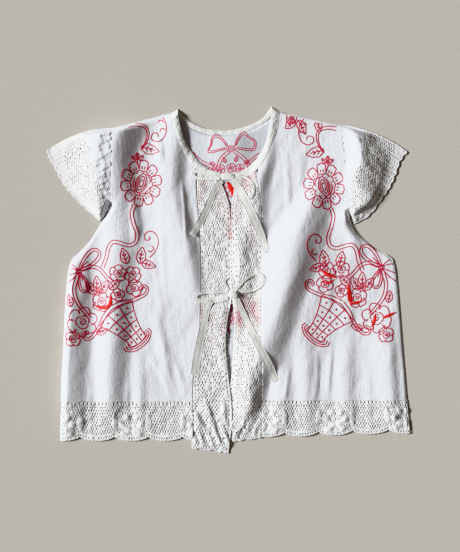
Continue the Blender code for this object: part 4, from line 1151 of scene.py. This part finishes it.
def front_top(x, y):
    return front_under(x, y) + pucker(x, y, 5) + CLOTH


def inside_front(rows, edge, middle, outwards):
    """The parts of lines that lie on one front, clear of its seams."""
    kept = []
    for row in rows:
        edge_x, middle_x = (np.interp(row[:, 1], *np.transpose(table)[::-1]) for table in (edge, middle))
        top = np.interp(abs(row[:, 0]), SHOULDER_X, SHOULDER_Y)
        inside = np.minimum((edge_x - row[:, 0]) * outwards, (row[:, 0] - middle_x) * outwards)
        good = np.minimum(inside, top - row[:, 1]) > SEAM_CLEARANCE
        for run in np.split(np.arange(len(row)), np.flatnonzero(np.diff(good.astype(int))) + 1):
            if good[run[0]] and len(run) > 2:
                kept.append(row[run])
    return kept


def redwork():
    """The sprig of the right front: spray, bow, flowers, and the basket's lines and knots."""
    spray = ribbon([(-150, 231), (-139, 233), (-126, 230), (-121, 221), (-123, 208), (-131, 195)], 5.5, 1.2)
    scroll = (
        (-104, 250), (-95, 238), (-93, 225), (-97, 213), (-106, 207), (-115, 211), (-114, 219), (-107, 220),
        (-105, 214),
    )
    spray += lines(scroll, [(-96, 236), (-102, 240), (-106, 236)], [(-94, 225), (-100, 227), (-103, 222)])
    spray += several(
        leaf,
        (-131, 199, 28, 15, -14), (-137, 180, 10, 5.5, 148, 0), (-136, 182, 9, 5, 96, 0),
        (-135, 180, 10, 5.5, 40, 0),
    )
    spray += lines([(-136, 184), (-137, 174)])
    spray += rosette(-131, 145, 31, 35)
    fall = (
        (-141, 112), (-145, 100), (-142, 84), (-137, 69), (-140, 56), (-150, 52), (-161, 55), (-172, 57),
        (-179, 50), (-183, 34), (-189, 18),
    )
    spray += ribbon(fall, 4.8)
    scroll = (
        (-119, 33), (-109, 44), (-105, 58), (-110, 70), (-119, 73), (-126, 67), (-124, 60), (-118, 61),
        (-119, 66),
    )
    spray += lines(scroll, [(-116, 52), (-112, 47), (-117, 42), (-120, 45)])
    spray += several(leaf, (-153, 24, 25, 13, 104), (-133, 24, 26, 14, 81), (-131, 26, 23, 12, -16))
    bow = several(loop, (-224, 14, 43, 15, 46), (-223, 11, 31, 11, -72))
    bow += lines(
        [(-224, 14), (-236, 24), (-250, 26)], [(-224, 14), (-238, 18), (-252, 16)],
        [(-224, 12), (-236, 8), (-250, 2)], [(-224, 12), (-234, 1), (-246, -8)],
    )
    bow += [ring(-224, 13, 4.2), ring(-224, 13, 2)]
    bow += ribbon([(-220, 15), (-206, 20), (-193, 16), (-183, 5), (-173, -4)], 5, 4)
    bow += ribbon([(-225, 9), (-231, -12), (-227, -32), (-214, -50), (-207, -58)], 5, 4)
    flowers = several(
        rose,
        (-166, 10, 13, 10), (-144, 8, 13, 50), (-141, -12, 13, 200, 4), (-190, -33, 15, 80),
        (-219, -63, 23, 20, 6), (-233, -88, 12, 140, 4),
    )
    flowers += several(
        leaf,
        (-199, -22, 25, 12, 128), (-196, -20, 27, 12, 94), (-193, -21, 24, 12, 58), (-178, -14, 21, 11, 44),
        (-236, -40, 19, 10, 100), (-198, -80, 19, 10, 20),
    )
    flowers += rose(-166, -22, 10, 15, 4)
    return spray, bow, flowers, *basket(-169, -50, 39)


# How far each group lies from its mirror place on the left front
LEFT_SHIFTS = ((12, -4.5), (5, 6), (3, 6), (-6, 8), (-6, 8))
# The filled petals: a line down the middle of each, and its width along that line
FILLED = {
    "right": (([(-203, -36), (-193, -41), (-180, -40), (-176, -31), (-177, -21)], [1, 5, 6, 6, 1]),),
    "left": (
        ([(180, -8), (181, -20), (183, -32)], [5, 6.5, 6]),
        ([(182, -35), (192, -34), (204, -30)], [5, 5, 1]),
        ([(137, 17), (147, 9), (158, 5), (162, 2)], [1, 5, 6, 1]),
        ([(138, -2), (150, -4), (159, 1)], [1, 5, 1]),
        ([(220, -50), (219, -60), (215, -70)], [1, 6, 3]),
        ([(233, -56), (243, -52), (252, -48)], [4, 5, 1]),
    ),
}
motifs = redwork()
for side, outwards, edge, middle in (
    ("right", -1, RIGHT_SIDE, RIGHT_MIDDLE),
    ("left", 1, LEFT_SIDE, LEFT_MIDDLE),
):
    spray, bow, flowers, woven, knots = (
        [p * [-outwards, 1] + (shift if side == "left" else (0, 0)) for p in group]
        for group, shift in zip(motifs, LEFT_SHIFTS)
    )
    if side == "left":
        spray += several(leaf, (100, 240, 20, 12, -140), (104, 240, 24, 12, -62), (133, 240, 19, 11, -80))
        spray += rose(94, 242, 8, 0)
    dots = [np.stack([np.linspace(-1.5, 1.5, 4) + p[0, 0], np.full(4, p[0, 1])], -1) for p in knots]
    for kind, rows, thread, sizes in (
        ("stem_stitch", spray + bow + flowers + woven, crimson, STEM),
        ("knots", dots, crimson, KNOT),
        ("satin_stitch", several(satin, *FILLED[side]), scarlet, SATIN),
    ):
        work(f"{side}_front_{kind}", inside_front(rows, edge, middle, outwards), front_top, thread, sizes)


def back_top(x, y):
    return CLOTH + back_slack(x, y)


inner = [ring(4, 196.5, 4.6), ring(4, 196.5, 2.2)]
for bow_loop in (
    [(0, 199), (-9, 212), (-19, 218), (-25, 213), (-27, 203), (-31, 194), (-27, 190.5), (-12, 194), (0, 197)],
    [(8, 199), (14, 213), (23, 222), (31, 215), (40, 209), (41, 199), (36, 194), (20, 195), (9, 197)],
):
    outside = line(bow_loop)
    middle_x, middle_y = outside.mean(axis=0)
    inner += [outside, (outside - [middle_x, middle_y]) * [0.84, 0.76] + [middle_x, middle_y]]
for route, width in (
    ([(1, 193), (-10, 183), (-17, 168), (-20, 158)], 4.5),
    ([(8, 193), (22, 183), (31, 171), (36, 160)], 4.5),
    ([(-54, 191), (-43, 179), (-28, 171), (-18, 164)], 4),
    ([(48, 189), (36, 181), (28, 172)], 4),
):
    inner += ribbon(route, width)
for x, y, size in ((-12, 166, 7), (4, 168, 7), (17, 167, 7), (30, 163, 6), (-26, 163, 6)):
    inner += rose(x, y, size, 40 * x, 4)
for x, y, angle in ((-4, 176, 120), (10, 177, 70), (-20, 172, 150), (24, 174, 40)):
    inner += leaf(x, y, 9, 5, angle, 0)
for x, y, size in (
    (-34, 135, 11), (-14, 118, 9), (24, 138, 12), (18, 108, 11), (36, 66, 11), (-36, -48, 12), (36, -40, 13),
    (-22, -64, 10), (10, -58, 9), (-34, 78, 9),
):
    inner += rose(x, y, size, 17 * x)
    inner += leaf(x + 0.8 * size, y - 0.6 * size, 1.2 * size, 0.6 * size, 7 * y)
inner += lines(
    [(-9, 144), (-4, 139), (-6, 133), (-1, 131), (1, 136), (-3, 140)],
    [(-5, 134), (0, 127), (5, 124), (4, 131)],
    [(-10, 138), (-7, 130), (-2, 122), (0, 112)],
)
for x, y, wide, high, force in PINK_SPOTS:
    if force > 0.25:
        route = [(x - 0.8 * wide, y + 1), (x, y), (x + 0.8 * wide, y - 1)]
        inner += satin(route, [0.6 * high, 1.5 * high, 0.6 * high], 1.8)
inner += lines([(0, 122), (-3, 105), (1, 90), (-2, 75), (2, 62)])
inner += satin([(2, -64), (0, -72), (2, -82)], [1.5, 3, 1.5], 1.4)
inner += satin([(2, -34), (5, -41), (4, -48)], [1.5, 4, 2], 1.4)
keyhole = satin([(-2, 147), (3, 140), (8, 131), (11, 123)], [3, 8, 9, 4])
work("back_stem_stitch", inner, back_top, faded, FINE_STEM)
work("back_satin_stitch", keyhole, back_top, scarlet, RAISED_SATIN)

# Ties
# Flat bias tape, folded and stitched along its edge, off-white against the cotton. The neck ties are the
# ends of the binding; the waist ties are sewn to the lace. Each pair is tied in a bow that lies loosely.
tape_cloth = plain_weave("tie_tape", (0.77, 0.775, 0.75), 0.0005, 0.03)
TAPE_THICK = 0.55
TAPE_SINK = 0.15
# A loop is two layers of tape that lie close together
LOOP_THICKER = {"neck": 0.6, "waist": 0.8}
# From the knot outwards: x, y, width, roll of the tape about its own line in degrees
TAPES = {
    "neck_bow_right_tail": (
        (-10, 149, 7, -6), (-20, 137, 8.5, -12), (-31, 110, 9.5, -15), (-42, 88, 10, -14),
        (-55.5, 67, 10, -8),
    ),
    "neck_bow_left_tail": (
        (6, 150, 10, -2), (21, 127, 12.5, -3), (37, 94, 12.5, -4), (50, 64, 11, -4), (57, 41, 8, 0),
    ),
    "neck_bow_left_loop": (
        (11, 157, 3.5, 0), (26, 153, 3, 0), (36, 144, 3, 0), (38, 133, 3, 0), (33, 122, 3, 0),
    ),
    "neck_bow_right_loop": (
        (-13, 152.5, 4, 0), (-30, 151.5, 3.5, 0), (-46, 153, 3.5, 0), (-53, 158, 4, 0), (-48, 163, 7, 0),
        (-30, 161, 8, 0), (-13, 157, 7, 0),
    ),
    "waist_bow_right_loop": (
        (-1, -17, 5, 0), (-15, -18, 4.5, 0), (-29, -19, 4, 0), (-42, -20, 3.5, 0), (-47.5, -22, 3.5, 0),
        (-49.3, -25.5, 4.5, 0), (-47.5, -29, 7, -3), (-42, -31, 9.5, -6), (-30, -30.5, 9.5, -6),
        (-15, -29, 8.5, -4), (-1, -27, 7, 0),
    ),
    "waist_bow_left_loop": (
        (10, -15, 4, 0), (25, 1, 4, 0), (40, 9, 4, 0), (51, 5.5, 4.5, -6), (52.5, -4, 4.5, -8),
        (42, -13, 4, 0), (29, -17, 4, 0), (13, -18, 4, 0),
    ),
    "waist_bow_small_loop": (
        (0, -14, 3, 0), (-6, -3, 3, 0), (1, 5, 3, 0), (5.5, 3, 3, 0), (7, -6, 3, 0), (7, -14, 3, 0),
    ),
    "waist_bow_right_tail": (
        (-26, -31, 8, -6), (-32, -44, 9.5, -9), (-38, -70, 11, -11), (-44, -100, 11.5, -12),
        (-48, -122, 12, -11), (-51, -142, 12, -8),
    ),
    "waist_bow_left_tail": (
        (12, -27, 7, -4), (21, -48, 9, -6), (34, -76, 10.5, -8), (49, -105, 11, -7), (60, -126, 11, -5),
        (71, -151, 10.5, 0),
    ),
}
# Each knot's middle and half sizes
KNOTS = {"neck_bow": (-2.4, 154.6, 12.2, 5.6, 2.0), "waist_bow": (6.8, -21.2, 7.2, 6.0, 3.0)}
lying = [*fronts, *bands, *neck_tapes]


def rest_height(x, y):
    """Height of the highest piece under a spot, in millimetres."""
    above, down = Vector((x * MM, y * MM, 0.1)), Vector((0, 0, -1))
    hits = [piece.ray_cast(above, down) for piece in lying]
    return max([hit[1].z / MM for hit in hits if hit[0]], default=0.6)


bpy.context.view_layer.update()
for name, (x, y, half_x, half_y, half_z) in KNOTS.items():
    bpy.ops.mesh.primitive_uv_sphere_add(segments=72, ring_count=36, radius=1)
    knot = bpy.context.object
    knot.name = f"{name}_pulled_knot"
    low = max(rest_height(x + i * half_x * 0.6, y + j * half_y * 0.6) for i in (-1, 0, 1) for j in (-1, 0, 1))
    for vertex in knot.data.vertices:
        at = np.array(vertex.co)
        boxy = np.sign(at) * abs(at) ** 0.72
        fold = np.sin(3.2 * at[0] + 2.6 * at[1] + 0.8) * (1 - abs(at[2]) * 0.4)
        wraps = 1 + 0.07 * np.tanh(3 * fold) + 0.03 * np.sin(9 * at[0] - 5 * at[1])
        vertex.co = (boxy * wraps * (half_x, half_y, half_z) + (x, y, low + half_z * 0.9)) * MM
    knot.data.shade_smooth()
    knot.data.materials.append(tape_cloth)
    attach(knot, "root")
    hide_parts(f"{name}_knot")

for name, table in TAPES.items():
    bpy.context.view_layer.update()
    table = np.array(table, float)
    middle = line(table[:, :2], step=1.5)
    share = np.linspace(0, 1, len(middle))
    width, roll = along(table[:, 2:], share).T
    half = sideways(middle) * width[:, None] / 2
    across = np.linspace(-0.5, 0.5, 9)
    x, y = spanned(np.hstack([middle - half, middle + half]), across + 0.5)
    lift = np.tan(np.radians(roll))[:, None] * across * width[:, None]
    lift = lift + 0.25 * np.sin(middle[:, 1:2] / 9 + across * 2) + 0.25 * (2 * across) ** 4
    lie = np.array([max(rest_height(a, b) - c for a, b, c in zip(*row)) for row in zip(x, y, lift)])
    for reach, taken in ((2, np.max), (3, np.mean)):
        padded = np.pad(lie, reach, mode="edge")
        lie = taken([padded[k : k + len(lie)] for k in range(2 * reach + 1)], axis=0)
    under = lie[:, None] + lift - TAPE_SINK
    thick = TAPE_THICK * (0.85 + 0.15 * np.cos(2 * np.pi * across)) + 0 * x
    thick -= 0.2 * np.exp(-(((abs(across) - 0.36) / 0.05) ** 2))
    if "loop" in name:
        thick = thick + LOOP_THICKER[name.split("_")[0]]
    tie = wall(f"{name}_tape", x, y, under, tape_cloth, thick)
    tie.data.set_sharp_from_angle(angle=np.radians(50))
    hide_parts(name)
    lying.append(tie)
